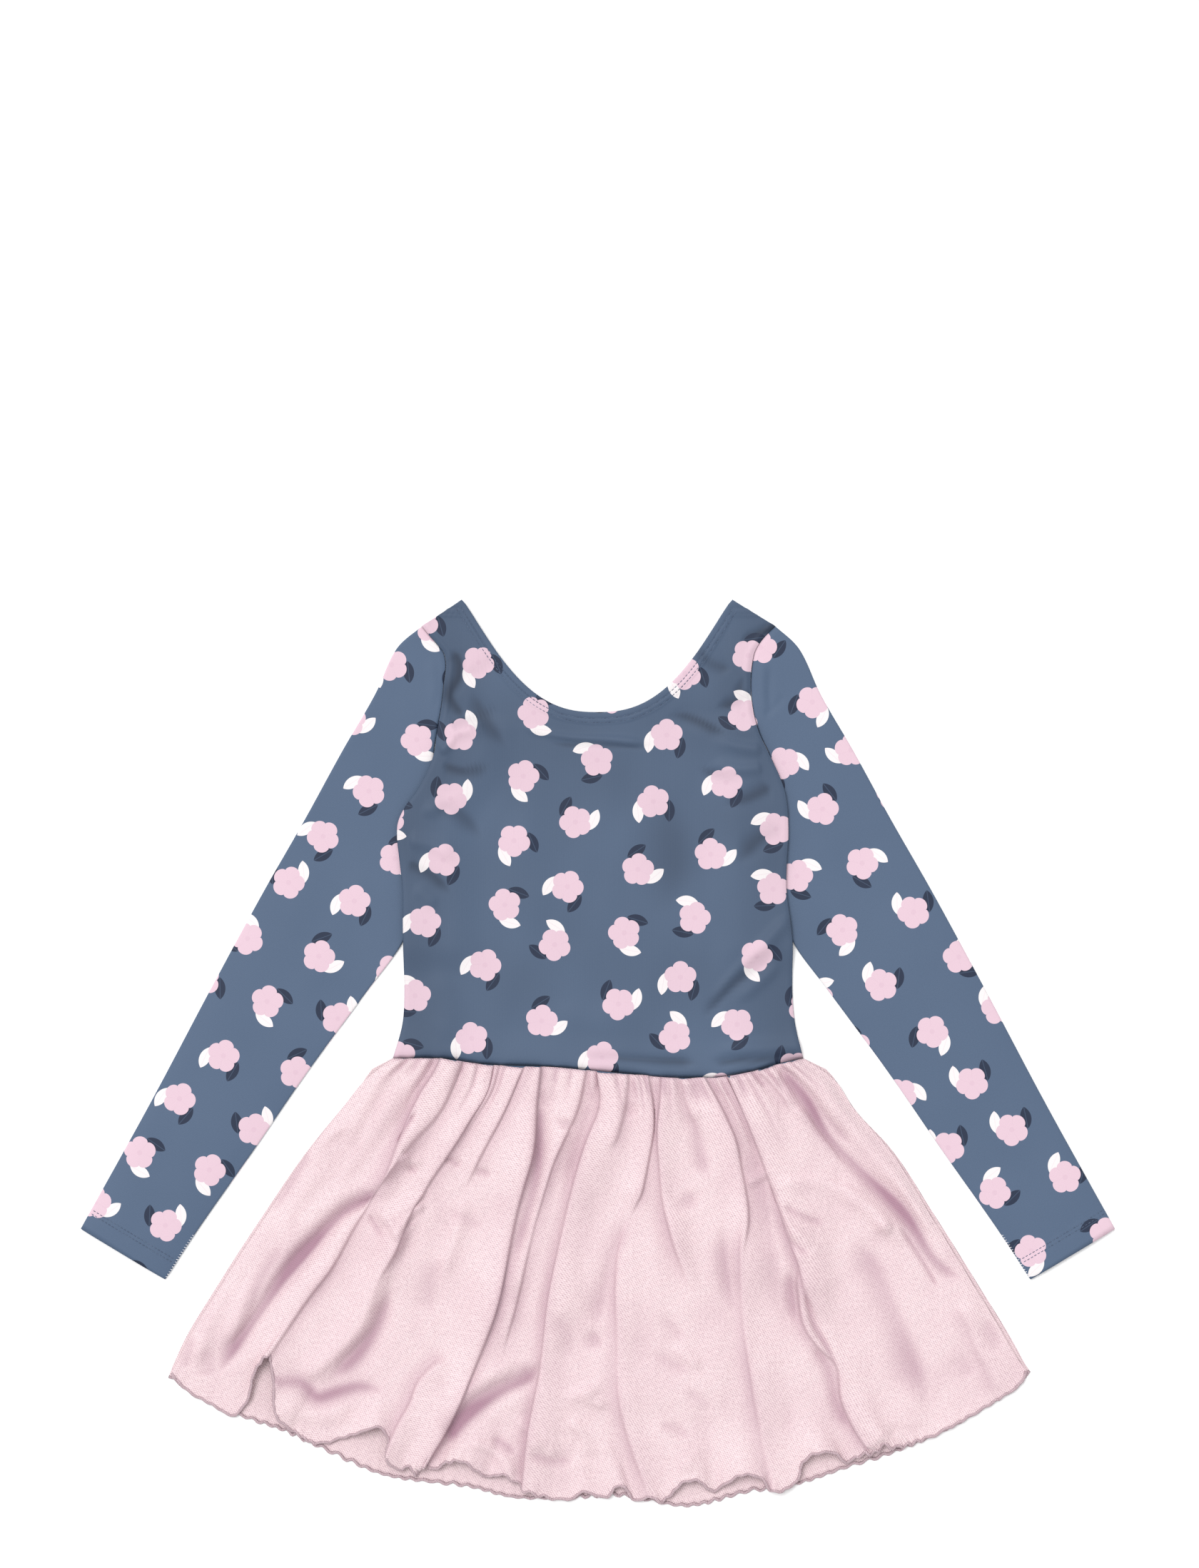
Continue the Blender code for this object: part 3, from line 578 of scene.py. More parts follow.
def pink_mesh_knit():
    """Slanted dashes on a deeper ground, slow changes of tone and painted shade in the folds."""
    finish = Finish("pink mesh knit", 0.5)
    place, across, down = finish.cut()
    slant = (across + down * 0.55) * (2 * np.pi / DASH_PITCH)
    step = (down - across * 0.35) * (2 * np.pi / (DASH_PITCH * DASH_ROW_SHARE))
    dash = (slant.math("SINE") * 0.5 + step.math("SINE") * 0.5).between(-0.75, 0.65)
    fleck = finish.noise(place, 0.55)
    cloud = finish.noise(place, 0.022)
    colour = finish.mix(cloud.between(0.35, 0.7), PINK_FACE, PINK_CLOUD)
    colour = finish.mix((1.0 - dash) * (fleck * 1.6 - 0.24), colour, PINK_GROUND)
    # Painted shade: a deeper, more mauve pink where the cloth's points say shade falls.
    colour = finish.mix(finish.marked("hollow"), colour, PINK_PAINTED_SHADE)
    finish.shader.inputs["Sheen Weight"].default_value = 0.20
    finish.shader.inputs["Sheen Roughness"].default_value = 0.35
    finish.shader.inputs["Specular IOR Level"].default_value = 0.45
    stretched = finish.node("ShaderNodeCombineXYZ", {}, across * 0.085, down * 0.032, 0.0)
    rumple = finish.noise(stretched, 1.0, 2.5)
    small = finish.node("ShaderNodeCombineXYZ", {}, across * 0.10 + down * 0.03, down * 0.05, 0.0)
    crinkle = finish.noise(small, 1.0, 1.5)
    sharp = (crinkle - 0.5).math("ABSOLUTE") * finish.marked("rumpled") * -CRINKLE_DEPTH
    relief = dash * DASH_DEPTH + fleck * FLECK_DEPTH + rumple * RUMPLE_DEPTH + sharp
    return finish.done(colour, relief, 1.0, 0.44 + fleck * 0.14)


PINK_KNIT = pink_mesh_knit()

# %% [markdown]
# Thread is spun, so a stitch or an overlocked edge shows fine slanted lines. The hem's thread is
# the skirt's pink with a deeper mauve in its turns, and a painted highlight on the roll's crown
# and painted shade at its sides make it lighter on top and darker at both sides. The slate thread
# matches the bodice, and the seams inside the sleeves are overlocked in white.

# %% Threads
WAVE_TURNS = 20.0
THREAD_FLECKS = 2600.0
HEM_WIND = 0.9
HEM_LIGHT = (0.800, 0.640, 0.660, 1.0)
HEM_DARK = (0.420, 0.285, 0.330, 1.0)


def thread(name, light, dark, pitch):
    """Slanted stripes round and along a thread, worked out from where it is."""
    finish = Finish(name, 0.6)
    where = finish.node("ShaderNodeTexCoord", {}, out=3)
    stripes = finish.node(
        "ShaderNodeTexWave", {"bands_direction": "DIAGONAL"}, where,
        Scale=1.0 / (pitch * MM) / WAVE_TURNS, Distortion=1.2, Detail=1.0,
    )
    fleck = finish.noise(where, THREAD_FLECKS)
    colour = finish.mix(stripes * 0.7 + fleck * 0.3, dark, light)
    return finish.done(colour, stripes, 0.08)


SLATE_THREAD = thread("slate thread", (0.10, 0.14, 0.22, 1.0), (0.04, 0.06, 0.11, 1.0), 0.7)
WHITE_THREAD = thread("white overlock thread", (0.88, 0.87, 0.89, 1.0),
                      (0.55, 0.56, 0.62, 1.0), 0.6)


def hem_thread():
    """Overlocking round the rolled hem: slanted threads, a painted highlight on top, painted shade
    at sides.
    """
    finish = Finish("rolled hem thread", 0.55)
    place, along, girth = finish.cut()
    wound = ((along + girth * 0.35) * (2 * np.pi / HEM_WIND)).math("SINE")
    fleck = finish.noise(place, 0.8)
    # A painted highlight on the roll's crown and painted shade at its sides, over the thread's
    # turns.
    crown_highlight = 1.0 - (girth - TUBE_GIRTH / 4).math("ABSOLUTE").between(0.45, 1.15)
    bright = wound.between(-0.9, 0.7) * (fleck * 0.8 + 0.2) * (crown_highlight * 0.75 + 0.25)
    return finish.done(finish.mix(bright, HEM_DARK, HEM_LIGHT), wound + fleck, 0.16)


HEM_THREAD = hem_thread()

# %% [markdown]
# The bodice is two panels joined at the sides. Both are cut to the same outline, with a deep
# scoop for the neck. A panel is filled in between its four edges: the shoulders and neck at the
# top, the waist seam at the bottom, and the two sides, whose bend fades towards the middle.

# %% Outline of the bodice
NECK_MIDDLE = -1.4
NECK_HALF_WIDTH = 89.1
NECK_TIP_HEIGHT = 298.3
NECK_FRONT_DEPTH = 74.0
NECK_BACK_DEPTH = 82.0
NECK_ROUNDNESS = 2.5
NECK_FULLNESS = 1.2
STRAP_SHARE = 0.25
SIDE_REACH = 0.45
SIDE_CROWDING = 0.55
BODICE_COLUMNS = 140
BODICE_ROWS = 150

BodiceSection = namedtuple("BodiceSection", "height left right")
BODICE_SIDES = (
    BodiceSection(-3.1, -135.6, 134.2), BodiceSection(7.3, -132.3, 131.4),
    BodiceSection(18.6, -129.5, 129), BodiceSection(38.3, -128.1, 127.1),
    BodiceSection(55, -128.4, 127), BodiceSection(72, -128.8, 127.1),
    BodiceSection(90, -129, 125.2), BodiceSection(108, -129.2, 123),
    BodiceSection(128.5, -131.4, 123.4), BodiceSection(143, -132.8, 124.3),
    BodiceSection(151, -132.4, 124.2), BodiceSection(162, -127.6, 123.7),
    BodiceSection(173, -119.6, 121.8), BodiceSection(182, -114.6, 118.6),
    BodiceSection(197, -108.6, 111.6), BodiceSection(211, -106.6, 105),
    BodiceSection(231, -103.4, 100.4), BodiceSection(245, -101.9, 99.6),
    BodiceSection(258, -100.9, 100.8), BodiceSection(264, -102.4, 102.2),
    BodiceSection(269.5, -106.8, 105.2), BodiceSection(275, -111.6, 109.6),
    BodiceSection(281.1, -116.6, 115.9),
)

SeamPoint = namedtuple("SeamPoint", "x height")
WAIST_SEAM = (
    SeamPoint(-136, -3.1), SeamPoint(-103, -3.2), SeamPoint(-80, -6.4), SeamPoint(-30, -8.7),
    SeamPoint(16, -12.9), SeamPoint(50, -15.8), SeamPoint(80, -15.2), SeamPoint(102, -11.2),
    SeamPoint(120, -6), SeamPoint(135, -3.1),
)


def seam_height(x):
    """How far up the waist seam lies at x."""
    return spline(column(WAIST_SEAM, "x"), column(WAIST_SEAM, "height"), x)


def bodice_edge(name, y):
    """Where the left or the right edge of the bodice lies at height y."""
    return spline(column(BODICE_SIDES, "height"), column(BODICE_SIDES, name), y)


def inside_bodice(x, y):
    """How far a point is inside the nearer side edge."""
    y = np.clip(y, BODICE_SIDES[0].height, BODICE_SIDES[-1].height)
    return np.minimum(x - bodice_edge("left", y), bodice_edge("right", y) - x)


def neck_scoop(from_middle):
    """Depth of the neck as a share of its deepest, 1 in the middle and 0 at its tips.

    One less the way from the middle to the power 2.5, and that to the power 1.2.
    """
    return (1.0 - from_middle ** NECK_ROUNDNESS) ** NECK_FULLNESS


def neck_line(x, depth):
    """Height of the neck's edge at x."""
    share = np.clip(np.abs(x - NECK_MIDDLE) / NECK_HALF_WIDTH, 0.0, 1.0)
    return NECK_TIP_HEIGHT - depth * neck_scoop(share)


def from_neck(x, y, depth):
    """Distance below the neck's edge: the drop, made shorter where the edge is steep."""
    share = np.clip(np.abs(x - NECK_MIDDLE) / NECK_HALF_WIDTH, 0.0, 0.99)
    slope = depth * (neck_scoop(share) - neck_scoop(share + 0.01)) / (0.01 * NECK_HALF_WIDTH)
    return (neck_line(x, depth) - y) / np.sqrt(1.0 + slope ** 2)


def bodice_plan(neck_depth):
    """Plan of a bodice panel: straight lines from top to bottom, bent by the two sides."""
    share = np.linspace(0.0, 1.0, BODICE_COLUMNS + 1)
    across = crowd(share, SIDE_CROWDING)
    down = np.linspace(0.0, 1.0, BODICE_ROWS + 1) ** 1.45
    low, high = BODICE_SIDES[0].height, BODICE_SIDES[-1].height
    height = high + (low - high) * down
    left = np.stack((bodice_edge("left", height), height), axis=1)
    right = np.stack((bodice_edge("right", height), height), axis=1)

    tips = (0.0, STRAP_SHARE, 1.0 - STRAP_SHARE, 1.0)
    neck_left, neck_right = NECK_MIDDLE - NECK_HALF_WIDTH, NECK_MIDDLE + NECK_HALF_WIDTH
    top_x = np.interp(share, tips, (left[0, 0], neck_left, neck_right, right[0, 0]))
    shoulder = np.interp(share, tips, (high, NECK_TIP_HEIGHT, NECK_TIP_HEIGHT, high))
    scooped = np.abs(top_x - NECK_MIDDLE) < NECK_HALF_WIDTH
    top = np.stack((top_x, np.where(scooped, neck_line(top_x, neck_depth), shoulder)), axis=1)
    bottom_x = left[-1, 0] + (right[-1, 0] - left[-1, 0]) * across
    bottom = np.stack((bottom_x, seam_height(bottom_x)), axis=1)
    bottom[0], bottom[-1] = left[-1], right[-1]

    pull = (np.maximum(1.0 - across / SIDE_REACH, 0.0) ** 2)[None, :, None]
    fall = down[:, None, None]
    body = (1.0 - fall) * top[None] + fall * bottom[None]
    left_bend = left[:, None] - ((1.0 - fall) * top[0] + fall * bottom[0])
    right_bend = right[:, None] - ((1.0 - fall) * top[-1] + fall * bottom[-1])
    return body + pull * left_bend + pull[:, ::-1] * right_bend


print("waist seam at the middle, mm:", round(float(seam_height(0.0)), 1))

# %% [markdown]
# Cloth folds in lines. A fold here is a path on the plan with a bell-shaped rise on each side of
# it, which may be gentle on one side and steep on the other. A pleat also leans over its steep
# side, so that its edge hides the cloth below it, as a real pleat does when it is seen from
# above. A negative height makes a trough.

# %% Folds
Fold = namedtuple("Fold", "path left right height lean fade_in fade_out", defaults=(0, 14, 14))
UNDER_PLEAT = 2.2
UNDER_WIDTH = 1.8
STEEP_REACH = 2.6
GENTLE_REACH = 7.0


def fold_shapes(plan, folds, pleat_gain=1.0, soft_gain=1.0):
    """Height, sideways shift and shade that a table of folds adds at each point of the plan.

    Rise is the height times a bell of the distance from the path over the width on that side,
    and shift is the lean times a narrower bell, square to the path. Shade is a bell just past a
    pleat's steep side, and along a trough it ends sooner on the right, where the next fold stands.
    Every fold swells and thins a little along its way, and it narrows where it fades out.
    """
    points = plan.reshape(-1, 2)
    rise, shift = np.zeros(len(points)), np.zeros((len(points), 2))
    shade = np.zeros(len(points))
    for fold in folds:
        line = curve_through(fold.path, 36)
        reach = 2.6 * max(fold.left, fold.right)
        inside = np.all((points > line.min(0) - reach) & (points < line.max(0) + reach), axis=1)
        near = np.flatnonzero(inside)
        step = np.diff(line, axis=0)
        away = points[near, None] - line[None, :-1]
        along = np.clip((away * step).sum(2) / (step ** 2).sum(1), 0.0, 1.0)
        offset = away - along[..., None] * step
        distance = np.sqrt((offset ** 2).sum(2))
        nearest = distance.argmin(1)
        pick = np.arange(len(near))
        gap = distance[pick, nearest]
        heading = step[nearest]
        side = heading[:, 0] * offset[pick, nearest, 1] - heading[:, 1] * offset[pick, nearest, 0]
        travelled = lengths(line)
        run = travelled[nearest] + along[pick, nearest] * (travelled[1] - travelled[0])
        fade = smooth_step(run, 0.0, fold.fade_in) if fold.fade_in else 1.0
        fade = fade * (smooth_step(run, travelled[-1], travelled[-1] - fold.fade_out)
                       if fold.fade_out else 1.0)
        swelling = 0.3 * np.sin(run / 15.0 + 2.0 * line[0, 0]) * smooth_step(run, 0.0, 60.0)
        fade = fade * (1.0 + swelling)
        width = np.where(side > 0.0, fold.right, fold.left) * (0.4 + 0.6 * fade)
        bell = np.exp(-((gap / width) ** 2)) * fade
        rise[near] += (pleat_gain if fold.lean else soft_gain) * fold.height * bell
        # Painted shade along a trough, narrower on its right.
        if fold.height < 0.0:
            lee = width * np.where(side > 0.0, 0.6, 1.1)
            trough = np.exp(-((gap / lee) ** 2)) * fade
            shade[near] = np.maximum(shade[near], -0.25 * fold.height * trough)
        if fold.lean:
            past = np.where(side * fold.lean > 0.0, gap, -gap)
            under = np.exp(-(((past - UNDER_PLEAT) / UNDER_WIDTH) ** 2)) * fade
            beside = np.exp(-(((past - 2.0 * UNDER_PLEAT) / (3.0 * UNDER_WIDTH)) ** 2)) * fade
            rise[near] -= 0.25 * pleat_gain * fold.height * under
            # Painted shade just past a pleat's steep side.
            deep = 0.10 * fold.height * (0.3 * under + 0.65 * beside)
            shade[near] = np.maximum(shade[near], deep)
            to_right = np.stack((-heading[:, 1], heading[:, 0]), axis=1)
            to_right /= np.linalg.norm(to_right, axis=1)[:, None]
            ends = (GENTLE_REACH, STEEP_REACH) if fold.lean > 0 else (STEEP_REACH, GENTLE_REACH)
            reach = np.where(side > 0.0, min(fold.right, ends[1]), min(fold.left, ends[0]))
            shift[near] += (fold.lean * fade * np.exp(-((gap / reach) ** 2)))[:, None] * to_right
    shape = plan.shape[:-1]
    return rise.reshape(shape), shift.reshape(plan.shape), shade.reshape(shape)


print("a fold's own numbers:", Fold._fields)

# %% [markdown]
# The bodice lies almost smooth. A few soft creases run from the armholes and under the neck, and
# one tuck lies along the waist. They are short, shallow folds of different lengths.

# %% Creases of the bodice
FRONT_CREASES = (
    Fold(((-14, -2), (19, -3.5), (45, -5), (66, -5.6)), 2.2, 3, -0.7, 0, 16, 12),
    Fold(((70, -6), (103, -4), (134, -2.6)), 2, 3.2, -0.8, 0, 14, 0),
    Fold(((76, 3), (106, 4), (136, 6)), 5, 4, 0.8, 0, 20, 0),
    Fold(((117, 67.4), (102, 55.7), (88.6, 45.4), (76, 32.7), (67.4, 23.3)), 4, 4, -0.9),
    Fold(((121, 60), (104, 46), (88, 32)), 6, 4, 0.8),
    Fold(((-97, 266), (-92, 257), (-92, 249), (-98, 235), (-92, 225), (-89, 220)),
          4, 4, -1, 0, 6, 6),
    Fold(((-99, 215.5), (-89, 219.3), (-77.5, 222.6), (-66, 229)), 3.2, 3.2, -1.1, 0, 4),
    Fold(((-100, 208), (-86, 213), (-64, 220)), 4, 4, 0.7, 0, 5),
    Fold(((-105, 197), (-94, 209)), 3.5, 3.5, 0.8, 0, 4, 6),
    Fold(((-118, 157), (-91, 170)), 5, 4, 0.6, 0, 8, 10),
    Fold(((-122, 111), (-105, 95)), 5, 4, 0.5, 0, 6, 8),
    Fold(((-34, 204.6), (-28, 203.7), (5, 202.6), (22, 201.6), (36, 200.5)), 1.6, 1.9, -0.5),
    Fold(((115, 280.6), (107, 276.4), (98.5, 272.8), (92, 270.6)), 3, 3, -1.2, 0, 0, 8),
    Fold(((44, 222.5), (54, 222.5), (63, 219.7), (74.5, 214), (86, 209)), 2.8, 3.2, -0.9),
    Fold(((64, 190), (74.5, 184.5), (84, 181.7), (96, 177)), 3.2, 3.2, -0.9),
    Fold(((70, 190), (93, 187.2), (108, 188)), 3.6, 3, 0.8, 0, 10, 4),
    Fold(((96, 250), (92, 236), (93, 222)), 3, 3, -0.7),
    Fold(((-40, 30), (-10, 22), (30, 26)), 14, 12, 0.5, 0, 30, 30),
    Fold(((-108, 60), (-100, 30), (-104, 4)), 9, 9, 0.5, 0, 20, 16),
    Fold(((126, 92), (112, 76), (92, 56), (70, 28)), 3.2, 5, 0.9, 0, 10, 20),
    Fold(((-55, 214), (-20, 208), (12, 206), (36, 203)), 2, 2.6, 0.6, 0, 16, 16),
    Fold(((-84, 238), (-74, 218), (-60, 200)), 5, 6, -0.7, 0, 12, 16),
    Fold(((-104, 190), (-88, 186), (-70, 190)), 3.6, 4, -0.8, 0, 6, 12),
    Fold(((-110, 168), (-92, 158), (-76, 140)), 5, 6, -0.6, 0, 10, 18),
    Fold(((-126, 140), (-108, 136), (-92, 126)), 4, 5, 0.7, 0, 4, 14),
    Fold(((-126, 126), (-110, 118), (-96, 104)), 4, 4, -0.8, 0, 4, 14),
    Fold(((122, 150), (104, 140), (90, 124)), 5, 6, -0.7, 0, 8, 16),
    Fold(((114, 176), (98, 168), (80, 164)), 4, 5, -0.8, 0, 6, 16),
    Fold(((108, 200), (92, 202), (72, 208)), 3, 4, 0.8, 0, 5, 12),
    Fold(((100, 238), (88, 230), (76, 228)), 3.6, 4, -0.9, 0, 5, 10),
    Fold(((62, 270), (72, 258), (88, 252)), 3.6, 4, -0.6, 0, 8, 8),
    Fold(((-68, 262), (-78, 252), (-90, 250)), 3.6, 4, -0.6, 0, 8, 8),
    Fold(((-46, 172), (-48, 120), (-44, 70)), 16, 16, 0.5, 0, 40, 40),
    Fold(((40, 180), (48, 130), (42, 84)), 16, 18, -0.4, 0, 40, 40),
)
BACK_CREASES = (
    Fold(((-96, 240), (-84, 222), (-60, 212)), 5, 5, 0.3, 0, 12),
    Fold(((-60, 14), (0, 6), (70, 12)), 8, 8, 0.3, 0, 30, 30),
    Fold(((92, 200), (70, 190), (40, 186)), 6, 6, 0.3, 0, 12, 20),
)
print("creases on the front:", len(FRONT_CREASES))

# %% [markdown]
# The front panel lies on the back panel, and both climb over the sleeves at the sides. The neck
# edge is turned under over a soft elastic, so it stands proud as a rounded band with two rows of
# stitches along it, a little puckered. At the side edges both panels dip towards each other,
# where the seam holds them.

# %% Height of the bodice's layers
LAYER = 1.4
CLEAR = 0.25
KNIT_THICK = 0.5
OVERLAP_LIFT = 2.9
NECK_ROWS = (3.8, 6.6)
ROW_DEPTH = 0.30
ROW_WIDTH = 0.55
PUCKER_PITCH = 3.2
CREASE_GAIN = 2.6
CREASE_SHADE = 2.3
LOWEST = 0.9


def overlap_lift(x, y):
    """How far a side of the bodice is lifted by the sleeve that lies under it."""
    over_sleeve = smooth_step(inside_bodice(x, y), 56.0, 30.0)
    return OVERLAP_LIFT * over_sleeve * smooth_step(y, 225.0, 211.0) * smooth_step(y, 50.0, 72.0)


def groove(distance, depth, width):
    """A small rounded furrow: minus the depth times a bell of the distance over the width."""
    return -depth * np.exp(-((distance / width) ** 2))


def neck_band(x, y, depth):
    """Relief of the turned neck edge: a rounded band, two stitched furrows and small puckers."""
    under = from_neck(x, y, depth)
    band = 0.55 * smooth_step(under, 8.4, 6.9) - 0.5 * smooth_step(under, 1.0, -0.2)
    rows = sum(groove(under - row, ROW_DEPTH, ROW_WIDTH) for row in NECK_ROWS)
    around = x + 0.6 * np.sign(x) * (y - 224.0)
    puckers = 0.10 * np.sin(around * 2 * np.pi / PUCKER_PITCH + 1.5 * np.sin(around / 9.0))
    return band + rows + puckers * np.exp(-(((under - 5.6) / 2.6) ** 2))


def front_bodice_shade(plan):
    """Painted shade of the front panel: some all over, more at the sides, under the neck and in
    creases.
    """
    x, y = plan[..., 0], plan[..., 1]
    _, _, painted_crease_shade = fold_shapes(plan, FRONT_CREASES)
    sides = 0.20 * smooth_step(inside_bodice(x, y), 50.0, 6.0)
    chest = 0.14 * np.exp(-(((y - 214.0) / 34.0) ** 2))
    broad = 0.08 * swell(x, y, 12, 120.0, 40.0)
    return 0.12 + np.maximum(sides, chest) + broad + CREASE_SHADE * painted_crease_shade


def front_bodice_height(plan):
    """Underside of the front panel: layer, sleeve, waist seam, creases, neck band and edges."""
    x, y = plan[..., 0], plan[..., 1]
    above_seam = y - seam_height(x)
    climb = 2.0 * smooth_step(above_seam, 26.0, 0.0)
    creases, _, _ = fold_shapes(plan, FRONT_CREASES, 1.0, CREASE_GAIN)
    below_neck = smooth_step(from_neck(x, y, NECK_FRONT_DEPTH), 4.0, 24.0)
    slack = 0.6 * swell(x, y, 11, 90.0, 22.0) * below_neck
    soft = climb + creases + slack + 0.5
    soft = (soft + np.sqrt(soft ** 2 + 0.12)) / 2.0
    inside = inside_bodice(x, y)
    edge = groove(inside, 0.75, 1.5)
    ridge = 0.45 * np.exp(-(((inside - 3.6) / 1.7) ** 2)) * smooth_step(y, 212.0, 226.0)
    waist = groove(above_seam, 1.3, 1.6)
    height = (LAYER + CLEAR + overlap_lift(x, y) + soft + edge + ridge + waist
              + neck_band(x, y, NECK_FRONT_DEPTH))
    return np.maximum(height, LOWEST)


def back_bodice_height(plan):
    """Underside of the back panel, flat on the table but for the sleeves and small creases."""
    x, y = plan[..., 0], plan[..., 1]
    creases, _, _ = fold_shapes(plan, BACK_CREASES)
    edge = 0.35 * np.exp(-((inside_bodice(x, y) / 1.6) ** 2))
    band = 0.5 * neck_band(x, y, NECK_BACK_DEPTH)
    height = CLEAR - 0.2 + overlap_lift(x, y) + np.maximum(creases, 0.0) + edge + band
    return np.maximum(height, 0.05)


print("most that a sleeve lifts the bodice, mm:", OVERLAP_LIFT)

# %% [markdown]
# Both panels are now a grid each, with its height worked out above. The print is laid over the
# flat plan, shifted so that the two panels don't show the same stretch of it. Only the front gets
# painted shade in its creases, at its sides and under the neck, because the back is hidden.

# %% Bodice panels
FRONT_CUT = (407.0, 609.0)
BACK_CUT = (1120.0, 233.0)


def bodice_panel(name, neck_depth, height, shift):
    """One panel of the bodice, with the print laid over its flat plan."""
    plan = bodice_plan(neck_depth)
    return cloth(name, lifted(plan, height(plan)), plan + shift, SLATE_KNIT, KNIT_THICK, 1.0)


front_panel = bodice_panel("bodice_front_panel", NECK_FRONT_DEPTH, front_bodice_height, FRONT_CUT)
back_panel = bodice_panel("bodice_back_panel", NECK_BACK_DEPTH, back_bodice_height, BACK_CUT)
# The front panel carries its painted shade, for its finish to read.
mark(front_panel, hollow=front_bodice_shade(bodice_plan(NECK_FRONT_DEPTH)))

# %% [markdown]
# Two rows of small straight stitches hold the turned neck edge. Each stitch follows the neck's
# curve and lies in its furrow, a fraction of a millimetre proud of it.

# %% Stitches round the neck
STITCH_PITCH = 2.6
STITCH_LONG = 1.9
STITCH_RADIUS = 0.22
STITCH_PROUD = 0.10


def neck_row(inset):
    """Centres and directions of stitches at a fixed distance inside the front neck's edge."""
    half = NECK_HALF_WIDTH - 1.0
    x = np.linspace(NECK_MIDDLE - half, NECK_MIDDLE + half, 1600)
    edge = np.stack((x, neck_line(x, NECK_FRONT_DEPTH)), axis=1)
    line = edge + inset * right_of(edge)
    line = line[line[:, 1] < NECK_TIP_HEIGHT - 3.0]
    travelled = lengths(line)
    places = np.arange(2.0, travelled[-1] - 2.0, STITCH_PITCH)
    flat = points_at(places, travelled, line)
    heading = points_at(places, travelled, np.gradient(line, axis=0))
    up = front_bodice_height(flat[None])[0] + (KNIT_THICK + STITCH_PROUD)
    return lifted(flat, up), lifted(heading, np.zeros(len(flat)))


centres, headings = (np.concatenate(part) for part in zip(*map(neck_row, NECK_ROWS)))
neck_stitches = stitches(
    "neck_stitches", centres, headings, STITCH_LONG, STITCH_RADIUS, SLATE_THREAD
)

# %% [markdown]
# A sleeve is a tube of knit pressed flat. Seen from above it runs between an outer and an inner
# fold, from the armhole to the cuff. Its ring at each row goes along the under layer, round the
# outer fold, back along the upper layer and round the inner fold, where the long seam is. The
# folds are rounded by columns that follow a quarter circle.

# %% Lines of a sleeve
SLEEVE_FLAT = 2.3
SLEEVE_PUFF = 1.6
SLEEVE_MIDDLE = -0.9
SEAM_GAP = 0.3
CUFF_HEM_DEPTH = 13.4
CUFF_ROWS = (12.2, 14.6)
CUFF_ROW_DEPTH = 0.25
SLEEVE_ROWS = 150
SLEEVE_COLUMNS = 96
NOSE_DEPTH = 1.3
NOSE_STEPS = 5

SleeveSection = namedtuple("SleeveSection", "outer_x outer_y inner_x inner_y")
SLEEVE_SECTIONS = (
    SleeveSection(116.6, 281.1, 106.9, 129.5), SleeveSection(131.4, 267.6, 112.5, 113),
    SleeveSection(146.4, 236.6, 118.5, 96), SleeveSection(167, 201, 129, 72.1),
    SleeveSection(191, 157.2, 151, 42), SleeveSection(220.2, 106, 190.8, -12),
    SleeveSection(255.4, 41.1, 225.4, -62.3), SleeveSection(296.3, -36, 263, -115.9),
    SleeveSection(340.3, -115.4, 284.6, -148.8),
)
HiddenPoint = namedtuple("HiddenPoint", "x height")
SLEEVE_HIDDEN_END = (
    HiddenPoint(108.6, 182), HiddenPoint(109, 162), HiddenPoint(108.4, 145),
    HiddenPoint(106.9, 129.5),
)
SEAM_END = 197.0
HIDDEN_SHIFT = np.array((2.4, 2.1, 1.0, 0.0))


def armhole_line(side):
    """The sleeve's upper end: along the seam, then hidden under the side of the bodice."""
    edge_name = "right" if side > 0 else "left"
    seam_rows = [row for row in BODICE_SIDES[::-1] if row.height >= SEAM_END]
    seam = np.array([(side * getattr(row, edge_name), row.height) for row in seam_rows])
    hidden = np.array(SLEEVE_HIDDEN_END)
    hidden[:, 0] += (seam[-1, 0] - hidden[0, 0]) * HIDDEN_SHIFT
    end = np.concatenate((seam, hidden))
    return end - SEAM_GAP * right_of(end)


